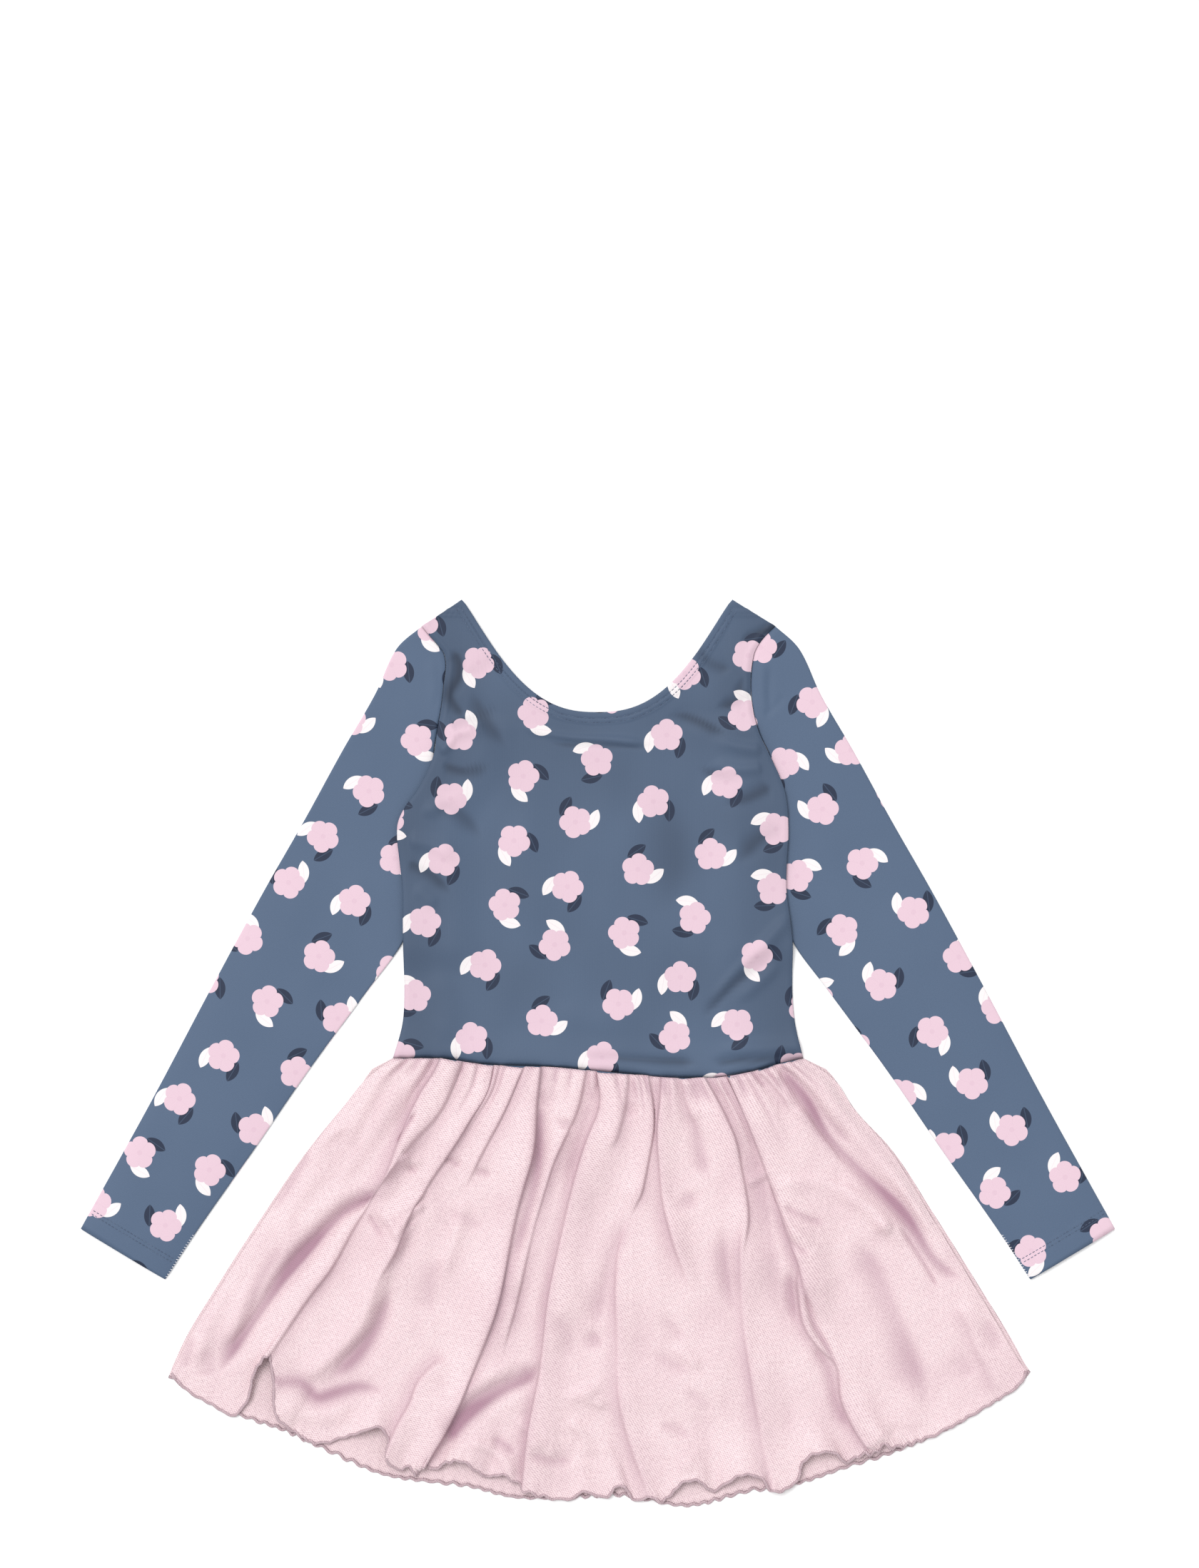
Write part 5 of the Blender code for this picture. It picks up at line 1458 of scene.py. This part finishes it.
# %% Short folds of the skirt
SHORT_FOLDS = (
    Fold(((-224, -206), (-214, -214), (-196, -216), (-185, -226), (-174, -223), (-159, -219),
          (-138, -223)), 4.5, 6, -2.8, 0, 8, 18),
    Fold(((-212, -226), (-190, -238), (-160, -232)), 8, 8, 2.4, 0, 16, 18),
    Fold(((-246, -142), (-256, -176), (-268, -208)), 7, 6, 1.8, 0, 20, 14),
    Fold(((23, -102), (8, -140), (-5, -186)), 7, 7, -1.4, 0, 24, 24),
    Fold(((-6, -180), (2, -196)), 8, 6, -1.6, 0, 6, 8),
    Fold(((56, -88), (64, -104)), 8, 7, -1.4, 0, 8, 8),
    Fold(((34, -236), (50, -262), (62, -276)), 6, 7, 1.6, 0, 14, 8),
    Fold(((-24, -244), (-2, -250), (10, -268)), 5, 5, 1.2, 0, 10, 10),
    Fold(((-130, -3.5), (-144, -18), (-160, -46), (-168, -66)), 5, 5, 2.2, 0, 0, 24),
    Fold(((-117, -3.5), (-128, -18), (-148, -50), (-174, -92)), 4, 6, 2.4, 0, 0, 30),
    Fold(((-122, -64), (-136, -76), (-142, -86)), 3, 3, 1.9, 0, 6, 8),
    Fold(((30, -100), (36, -150), (40, -206)), 10, 10, 1.2, 0, 30, 40),
    Fold(((-113, -86), (-123, -95.5), (-132, -102), (-147, -113)), 2.6, 3, 1.6, 0.8, 8, 8),
    Fold(((-112, -97), (-126, -105), (-139, -120)), 2.6, 3, 2.2, 0, 8, 8),
    Fold(((-118, -108), (-128, -118), (-133, -132)), 2.6, 3, 1.9, 0, 6, 8),
    Fold(((-104, -69), (-97, -70), (-91, -75)), 2.4, 2.4, -1.9, 0, 4, 4),
    Fold(((-83, -78), (-76, -77.5), (-70, -80)), 2.4, 2.4, -1.9, 0, 4, 4),
    Fold(((-102, -103), (-84, -110), (-76, -117)), 4, 5, -0.8, 0, 8, 8),
    Fold(((-164, -46), (-178, -54), (-188, -62)), 3, 3, 1.6, 0, 6, 6),
    Fold(((-176, -70), (-192, -88), (-216, -128)), 5, 6, 1.3, 0, 18, 22),
    Fold(((-204, -120), (-222, -150), (-236, -186)), 5, 4, -1.3, 0, 18, 22),
    Fold(((-228, -146), (-236, -168), (-243, -194)), 4, 5, 1.4, 0.8, 10, 8),
    Fold(((-258, -190), (-256, -214)), 7, 7, -1, 0, 8, 4),
    Fold(((-266, -184), (-273, -208)), 5, 5, -1, 0, 8, 4),
    Fold(((140, -190), (150, -204), (156, -228), (168, -252)), 5, 4, -2.2, 0, 10, 16),
    Fold(((114, -86), (134, -82.5), (163, -89), (182, -105), (193, -119)), 8, 3, 1.9, 0, 14, 10),
    Fold(((117, -98), (130, -115), (141, -126)), 3, 2.6, 1.4, 0.8, 6, 8),
    Fold(((122, -98), (138, -108), (150, -112)), 2.6, 2.6, -1.6, 0, 5, 8),
    Fold(((126, -118), (140, -132)), 2.4, 2.4, -1.6, 0, 5, 6),
    Fold(((38, -170), (48, -178), (58, -190)), 5, 4, -0.8, 0, 9, 9),
    Fold(((34, -196), (48, -203), (62, -210)), 5, 4, -0.8, 0, 9, 9),
    Fold(((46, -190), (56, -196), (68, -208)), 4, 4, 1.7, 0, 8, 8),
    Fold(((56, -218), (66, -227), (78, -234)), 5, 4, -0.8, 0, 9, 9),
    Fold(((-20, -40), (-24, -52)), 6, 6, -1.4, 0, 6, 6),
    Fold(((18, -30), (22, -44)), 5, 5, -1.3, 0, 6, 6),
    Fold(((62, -36), (66, -60), (72, -84)), 5, 5, -1.6, 0, 8, 14),
    Fold(((-30, -168), (-20, -186), (-24, -206)), 8, 8, -1, 0, 10, 12),
    Fold(((-44, -262), (-30, -268), (-16, -266)), 4, 4, -1.6, 0, 6, 8),
    Fold(((-24, -226), (-8, -222), (4, -214)), 4, 4, 1.6, 0, 8, 8),
    Fold(((-56, -240), (-46, -248), (-36, -262)), 3, 4, 1.6, 0, 6, 8),
    Fold(((200, -196), (206, -224), (206, -250)), 7, 7, 1.2, 0, 16, 8),
    Fold(((236, -196), (246, -214)), 8, 8, -0.9, 0, 8, 6),
    Fold(((-36, -22), (-38, -40)), 7, 6, -1.7, 0, 8, 8),
    Fold(((-8, -18), (-2, -36)), 6, 5, -1.5, 0, 8, 8),
    Fold(((-50, -146), (-58, -172)), 10, 8, -1.2, 0, 12, 12),
    Fold(((-104, -132), (-111, -152), (-112, -176)), 8, 7, -0.8, 0, 12, 14),
    Fold(((96, -87), (106, -81), (115, -75)), 2.2, 3.6, 2, 0, 5, 5),
    Fold(((254, -172), (264, -198)), 6, 6, -1.2, 0, 10, 10),
    Fold(((126, -34), (142, -48), (158, -70)), 3, 4, 2, 0, 8, 14),
    Fold(((134, -24), (152, -44), (168, -62)), 3, 3, -1.6, 0, 8, 14),
    Fold(((-12, -216), (-6, -226), (6, -232)), 3.4, 4.4, 2, 0, 6, 6),
    Fold(((-20, -238), (-10, -252), (-6, -268)), 3, 4, 2.2, 0, 6, 8),
    Fold(((38, -243), (50, -246), (62, -254)), 3.4, 3.4, -1, 0, 8, 8),
    Fold(((-72, -252), (-62, -257), (-54, -264)), 3.6, 3.6, -2, 0, 6, 6),
    Fold(((-146, -100), (-138, -110), (-132, -122)), 2.6, 3, 2.3, 0, 5, 6),
    Fold(((-152, -104), (-146, -114), (-142, -122)), 2.4, 2.8, -1.9, 0, 5, 6),
    Fold(((-131, -66), (-124, -70), (-114, -70)), 2.6, 3, 2.2, 0, 4, 5),
    Fold(((-128, -74), (-118, -77)), 2.4, 2.8, -1.7, 0, 4, 5),
)
SKIRT_FOLDS = LONG_FOLDS + SHORT_FOLDS
print("skirt folds:", len(LONG_FOLDS), "long and", len(SHORT_FOLDS), "short")

# %% [markdown]
# Between the pleats the seam is drawn up in small gathers, each a ridge with a thin crease beside
# it. The table gives where each starts on the seam, how far it reaches and which side is steep.

# %% Gathers of the seam
Gather = namedtuple("Gather", "x length lean")
GATHERS = (
    Gather(-129, 20, 0.5), Gather(-123, 14, -0.4), Gather(-110, 34, 0.6), Gather(-88, 22, -0.5),
    Gather(-82, 30, 0.5), Gather(-67, 34, 0.5), Gather(-61, 26, -0.4), Gather(-35, 16, 0.4),
    Gather(-29, 26, 0.5), Gather(-20, 14, 0.3), Gather(-5, 16, -0.4), Gather(9, 18, 0.4),
    Gather(23, 20, 0.4), Gather(36, 26, -0.5), Gather(49, 20, -0.3), Gather(77, 36, -0.5),
    Gather(83, 18, 0.4), Gather(98, 40, -0.5), Gather(112, 18, -0.4), Gather(121, 26, -0.5),
    Gather(127, 24, -0.4),
)
print("gathers:", len(GATHERS))

# %% [markdown]
# The skirt's front lies over the brief inside it and the back layer, so its underside keeps
# clear of both. On that comes a soft loft, the folds, the gathers, fine creases and the fine
# waves of the rolled hem, which stretching under the needle leaves behind.

# %% Height of the skirt's front
SKIRT_THICK = 0.4
SKIRT_LONG = 260.0
LOFT = 2.6
PLEAT_GAIN = 0.95
SOFT_GAIN = 1.4
LEAN_SHARE = 0.8
FRONT_WAVE = 8.6
Zone = namedtuple("Zone", "half_width width_end bottom bottom_end")
BRIEF_ZONES = (Zone(137, 160, -138, -168), Zone(74, 104, -222, -248))


def brief_support(plan):
    """How high the skirt front's underside lies to clear the brief and the back layer."""
    x, y = np.abs(plan[..., 0]), plan[..., 1]
    over_brief = np.zeros(x.shape)
    for zone in BRIEF_ZONES:
        across = smooth_step(x, zone.width_end, zone.half_width)
        over_brief = np.maximum(over_brief, across * smooth_step(y, zone.bottom_end, zone.bottom))
    return LAYER + 2 * LAYER * over_brief


def gathers_at(seam_x, from_seam):
    """Height and shade of the small gathers: a ridge and a thin crease beside it, fading down."""
    rise = np.zeros(np.broadcast(seam_x, from_seam).shape)
    shade = rise
    for gather in GATHERS:
        off = (seam_x - gather.x) * np.sign(gather.lean)
        fade = smooth_step(from_seam, 1.7 * gather.length, 0.2 * gather.length)
        ridge = np.exp(-((off / np.where(off > 0, 1.1, 3.0)) ** 2))
        crease = np.exp(-(((off - 1.7) / 1.1) ** 2))
        rise = rise + (2.0 * ridge - 0.8 * crease) * fade
        # Painted shade in the thin crease beside each gather.
        shade = np.maximum(shade, 0.42 * crease * fade)
    return rise, shade


def skirt_front_points():
    """Points of the front's underside, and its shade.

    The plan is moved sideways by the pleats. The height is what lies below, a loft, the folds,
    gathers and swells kept above zero by a soft floor, the arches of the hem and its fine waves.
    """
    plan = skirt_plan
    from_seam = skirt_down[:, None] * SKIRT_LONG
    x, y = plan[..., 0], plan[..., 1]
    side_gap = np.minimum(x - skirt_edge("left", y, SIDE_INSET),
                          skirt_edge("right", y, SIDE_INSET) - x)
    calm = smooth_step(side_gap, 0.0, 9.0)

    flatter = 1.0 - 0.8 * smooth_step(skirt_down, 0.72, 1.0)[:, None]
    loft = LOFT * (smooth_step(from_seam, 0.0, 42.0) * flatter) * calm ** 0.5
    rise, shift, shade = fold_shapes(plan, SKIRT_FOLDS, PLEAT_GAIN, SOFT_GAIN)
    seam_x = plan[0, :, 0][None]
    gathered, painted_crease_shade = gathers_at(seam_x, from_seam)
    rise = rise + gathered
    # The painted shade of the gathers joins that of the folds.
    shade = np.maximum(shade, painted_crease_shade)
    broad = swell(x, y * 0.45, 41, 46.0, 14.0) * smooth_step(from_seam, 4.0, 30.0)
    fine = swell(x, y, 43, 17.0, 7.0)
    rise = rise + 0.8 * broad + 0.25 * fine * smooth_step(from_seam, 30.0, 90.0)
    # Painted shade where the broad swell dips.
    shade = np.maximum(shade, 0.10 * smooth_step(-broad, 0.1, 0.7))
    reach = 26.0 + 12.0 * swell(seam_x, 0.0, 48, 30.0, 8.0)
    near_seam = smooth_step(from_seam / reach, 1.0, 0.1)
    tiny = swell(seam_x, 0.12 * from_seam, 47, 11.0, 4.6) * near_seam
    rise = rise + 1.8 * tiny
    # Painted shade in the small gathers by the seam.
    shade = np.maximum(shade, 0.5 * smooth_step(-tiny, 0.08, 0.6))
    body = loft + rise * calm
    body = (body + np.sqrt(body ** 2 + 1.0)) / 2.0

    lift = np.zeros(plan.shape[1])
    for apex in HEM_LIFTS:
        arch = np.maximum(1.0 - ((plan[-1, :, 0] - apex.x) / apex.half_width) ** 2, 0.0)
        lift = np.maximum(lift, apex.lift * arch)
    arched = lift[None] * np.exp(-((skirt_from_hem / 26.0) ** 2))

    run = skirt_hem_run[None]
    strength = 0.35 + 0.65 * smooth_step(swell(run, 0.0, 51, 90.0, 20.0), -0.4, 0.5)
    near_hem = np.exp(-((skirt_from_hem / 6.5) ** 2)) * strength
    phase = run * 2 * np.pi / FRONT_WAVE + 2.2 * np.sin(run / 13.0) + 1.3 * np.sin(run / 5.3)
    plan = plan + LEAN_SHARE * shift * calm[..., None]
    plan[..., 1] += 1.6 * np.sin(phase + 0.9) * near_hem
    height = brief_support(plan) + CLEAR + body + arched + (1.0 + np.sin(phase)) * near_hem
    seam_dip = np.exp(-((from_seam / 1.6) ** 2))
    # A painted shadow line along the waist seam.
    shade = np.maximum(shade, 0.3 * np.exp(-((from_seam / 2.0) ** 2)))
    return lifted(plan, height - seam_dip), shade


skirt_front_grid, hollow = skirt_front_points()
front_up = skirt_front_grid[..., 2]
print("skirt front's height in mm:", front_up.min().round(1), front_up.max().round(1))

# %% [markdown]
# The front becomes a mesh, with its flat plan as its cut. It carries two named numbers for its
# finish: how much painted shade each point gets, and how rumpled the cloth is there. The rumples
# are strongest where the packed cloth was crushed, beside the long pleats and near the hem.

# %% Front of the skirt
FRONT_SKIRT_CUT = (500.0, 500.0)
BACK_SKIRT_CUT = (1500.0, 500.0)
LEAST_RUMPLED = 0.10
Rumple = namedtuple("Rumple", "x y radius strength")
RUMPLES = (
    Rumple(-114, -98, 28, 1), Rumple(-90, -74, 18, 0.8), Rumple(-186, -84, 34, 0.5),
    Rumple(132, -106, 22, 0.9), Rumple(160, -84, 24, 0.4), Rumple(-66, -236, 24, 0.4),
    Rumple(-12, -264, 24, 0.9), Rumple(50, -262, 18, 0.6), Rumple(60, -206, 34, 0.4),
    Rumple(-156, -226, 28, 0.4), Rumple(-120, -20, 26, 0.5), Rumple(120, -24, 24, 0.5),
)
skirt_front = cloth("skirt_front_drape", skirt_front_grid, skirt_plan + FRONT_SKIRT_CUT,
                    PINK_KNIT, SKIRT_THICK, 1.0)
rumpled = np.full(hollow.shape, LEAST_RUMPLED)
for rumple in RUMPLES:
    away = (skirt_plan[..., 0] - rumple.x) ** 2 + (skirt_plan[..., 1] - rumple.y) ** 2
    rumpled = np.maximum(rumpled, rumple.strength * np.exp(-away / rumple.radius ** 2))
# The front carries its painted shade and its rumples.
mark(skirt_front, hollow=hollow, rumpled=rumpled)
print("share of the front in hollows:", round(float((hollow > 0.3).mean()), 2))

# %% [markdown]
# The back layer lies flat under all this. It shows along both sides and below the hem, where the
# front draws back. Its own hem has the same fine waves.

# %% Back of the skirt
HemPoint = namedtuple("HemPoint", "x height")
BACK_HEM = (
    HemPoint(-283.4, -213.4), HemPoint(-262, -227), HemPoint(-234, -239.4), HemPoint(-205, -249),
    HemPoint(-172, -264.4), HemPoint(-144, -276.4), HemPoint(-112, -281.6), HemPoint(-86, -284.6),
    HemPoint(-58, -291.6), HemPoint(-30, -292.4), HemPoint(15, -290.6), HemPoint(59, -297.4),
    HemPoint(98, -288), HemPoint(132, -282.6), HemPoint(162, -272.4), HemPoint(192, -263),
    HemPoint(226, -249), HemPoint(262, -228.4), HemPoint(283.2, -211.4),
)
BACK_COLUMNS = 300
BACK_ROWS = 70
BACK_LONG = 270.0
BACK_WAVE = 8.3


def skirt_back_points():
    """A plain grid from seam to hem, with small waves at the hem."""
    across = np.linspace(0.0, 1.0, BACK_COLUMNS + 1)
    down = np.linspace(0.0, 1.0, BACK_ROWS + 1) ** 0.8
    top, bottom = SKIRT_SIDES[0].height, SKIRT_SIDES[-1].height
    y = top + (bottom - top) * down
    left, right = skirt_edge("left", y), skirt_edge("right", y)
    top_x = left[0] + (right[0] - left[0]) * across
    bottom_x = left[-1] + (right[-1] - left[-1]) * across
    hem = spline(column(BACK_HEM, "x"), column(BACK_HEM, "height"), bottom_x)
    seam = seam_height(top_x) - SEAM_GAP
    fall = down[:, None]
    plan_x = left[:, None] + (right - left)[:, None] * across[None]
    plan_y = (1.0 - fall) * seam[None] + fall * hem[None]
    straight = (1.0 - fall) * seam[0] + fall * hem[0]
    from_middle = 1.0 - 2 * np.minimum(across, 1.0 - across)[None]
    plan_y = plan_y + (y[:, None] - straight) * from_middle ** 4
    from_hem = (1.0 - fall) * BACK_LONG
    near_hem = np.exp(-((from_hem / 5.0) ** 2))
    phase = bottom_x[None] * 2 * np.pi / BACK_WAVE + 1.6 * np.sin(bottom_x[None] / 11.0)
    lively = 0.6 + 0.6 * swell(bottom_x[None], 0.0, 62, 70.0, 18.0)
    plan_y = plan_y + 1.9 * np.sin(phase) * near_hem * lively
    height = 0.1 + 0.35 * (1.0 + np.sin(phase + 1.0)) * near_hem
    height = height + 0.12 * (1.0 + swell(plan_x, plan_y, 61, 60.0, 15.0))
    return np.stack((plan_x, plan_y, height), axis=2)


skirt_back_grid = skirt_back_points()
skirt_back = cloth("skirt_back_drape", skirt_back_grid, skirt_back_grid[..., :2] + BACK_SKIRT_CUT,
                   PINK_KNIT, SKIRT_THICK, 1.0)

# %% [markdown]
# Both hems are rolled and overlocked: the edge is turned in and thread is wound closely round it.
# A thin tube along each hem, a little uneven, makes the roll, and its finish shows the thread.

# %% Rolled hems
HEM_HALF_WIDE = 1.0
HEM_HALF_HIGH = 0.72
HEM_STEP = 1.1
HEM_LOWEST = 0.95


def rolled_hem(name, edge, seed):
    """A tube along the cloth's last row, a little above its underside, thicker here and there."""
    travelled = lengths(edge)
    even = np.arange(0.0, travelled[-1], HEM_STEP)
    path = points_at(even, travelled, edge)
    path[:, 2] = np.maximum(path[:, 2] + 0.2, HEM_LOWEST)
    uneven = 1.0 + 0.2 * swell(even, 0.0, seed, 20.0, 3.0)
    return tube(name, path, HEM_HALF_WIDE * uneven, HEM_HALF_HIGH * uneven, HEM_THREAD)


front_hem = rolled_hem("skirt_front_hem", skirt_front_grid[-1], 71)
back_hem = rolled_hem("skirt_back_hem", skirt_back_grid[-1], 72)
hems = [round(lengths(grid[-1])[-1]) for grid in (skirt_front_grid, skirt_back_grid)]
print("hems in mm:", hems)

# %% [markdown]
# Inside the skirt is the brief, which the photograph doesn't show. It is cut from the slate knit
# with high leg openings, and each opening's edge is turned and slightly gathered by its elastic.

# %% Brief
BRIEF_LENGTH = 215.0
BRIEF_CROWDING = 0.5
LEG_PUCKER_PITCH = 4.2
SEAM_DIP = 12.9
BRIEF_BACK_CUT = (2300.0, 900.0)
BRIEF_FRONT_CUT = (2700.0, 900.0)
BriefSection = namedtuple("BriefSection", "drop front back")
BRIEF_SECTIONS = (
    BriefSection(0, 132.6, 132.6), BriefSection(50, 133.2, 133.2), BriefSection(90, 129, 131),
    BriefSection(100, 112, 124), BriefSection(112, 90, 112), BriefSection(128, 71, 92),
    BriefSection(150, 54, 70), BriefSection(180, 40, 48), BriefSection(BRIEF_LENGTH, 32, 32),
)


def brief_layer(name, edge_name, level, shift):
    """One layer of the brief, with a puckered elastic edge at each leg opening."""
    drop = np.linspace(0.0, BRIEF_LENGTH, 91)
    half_width = spline(column(BRIEF_SECTIONS, "drop"), column(BRIEF_SECTIONS, edge_name), drop)
    share = np.linspace(-1.0, 1.0, 81)
    across = share + BRIEF_CROWDING * np.sin(np.pi * share) / np.pi
    x = half_width[:, None] * across[None]
    fall = (drop / BRIEF_LENGTH)[:, None]
    y = seam_height(x) * (1.0 - fall) - SEAM_DIP * fall - SEAM_GAP - drop[:, None]
    from_edge = half_width[:, None] * (1.0 - np.abs(across[None]))
    leg = smooth_step(drop, 84.0, 96.0)[:, None]
    wave = 0.12 * np.sin(drop[:, None] * 2 * np.pi / LEG_PUCKER_PITCH)
    pucker = wave * np.exp(-((from_edge / 6.0) ** 2))
    band = groove(from_edge - 8.0, 0.2, 0.7) + pucker
    height = level + CLEAR + leg * (band + 0.12)
    points = np.stack((x, y, height), axis=2)
    return cloth(name, points, points[..., :2] + shift, SLATE_KNIT, KNIT_THICK, 1.0)


brief_back = brief_layer("brief_back_layer", "back", LAYER, BRIEF_BACK_CUT)
brief_front = brief_layer("brief_front_layer", "front", 2 * LAYER, BRIEF_FRONT_CUT)

# %% [markdown]
# Every piece rides on the garment's one body and stands for its solid. Its row in the table also
# names its cloth and says how large it was cut, how it lies and what it lies on.

# %% Join the pieces to the model
Sheet = namedtuple("Sheet", "piece node slot flat area held rests_on with_pieces")
SHEETS = (
    Sheet(front_panel, "front_bodice", "slate_knit", (0.27, 0.315), 0.0645, "laid",
          ["bodice_back_panel"], [neck_stitches]),
    Sheet(back_panel, "back_bodice", "slate_knit", (0.27, 0.315), 0.0635, "laid", [], []),
    Sheet(left_sleeve, "sleeve_left", "slate_knit", (0.31, 0.46), 0.0665, "laid", [],
          [cuff_stitches[-1], seam_loops[-1]]),
    Sheet(right_sleeve, "sleeve_right", "slate_knit", (0.31, 0.46), 0.0665, "laid", [],
          [cuff_stitches[1], seam_loops[1]]),
    Sheet(skirt_front, "skirt_front", "pink_mesh_knit", (0.62, 0.29), 0.150, "gathered",
          ["brief_front_layer", "skirt_back_drape"], [front_hem]),
    Sheet(skirt_back, "skirt_back", "pink_mesh_knit", (0.57, 0.29), 0.1215, "gathered", [],
          [back_hem]),
    Sheet(brief_back, "brief_back", "slate_knit", (0.27, 0.22), 0.0430, "laid",
          ["skirt_back_drape"], []),
    Sheet(brief_front, "brief_front", "slate_knit", (0.27, 0.22), 0.0398, "laid",
          ["brief_back_layer"], []),
)
for entry in SHEETS:
    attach(entry.piece, "root")
    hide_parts(entry.node)
    for piece in entry.with_pieces:
        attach(piece, "root")
print("sheets of cloth:", len(SHEETS))

# %% [markdown]
# The surface under the garment is a plain near-white board, so large that its edge is never in
# view. It is only the stage.

# %% Floor
BOARD_HALF = 30.0
BOARD_DARK = (0.925, 0.925, 0.925, 1.0)
BOARD_LIGHT = (0.94, 0.94, 0.94, 1.0)

board_finish = Finish("white board", 0.9)
grain = board_finish.noise(board_finish.node("ShaderNodeTexCoord", {}, out=3), 90.0)
board_finish.shader.inputs["Specular IOR Level"].default_value = 0.1
BOARD = board_finish.done(board_finish.mix(grain, BOARD_DARK, BOARD_LIGHT))
corners = BOARD_HALF * np.array(((-1, -1, 0), (1, -1, 0), (1, 1, 0), (-1, 1, 0)))
floor = link_mesh("floor", corners, np.array(((0, 1, 2, 3),)), BOARD)

# %% [markdown]
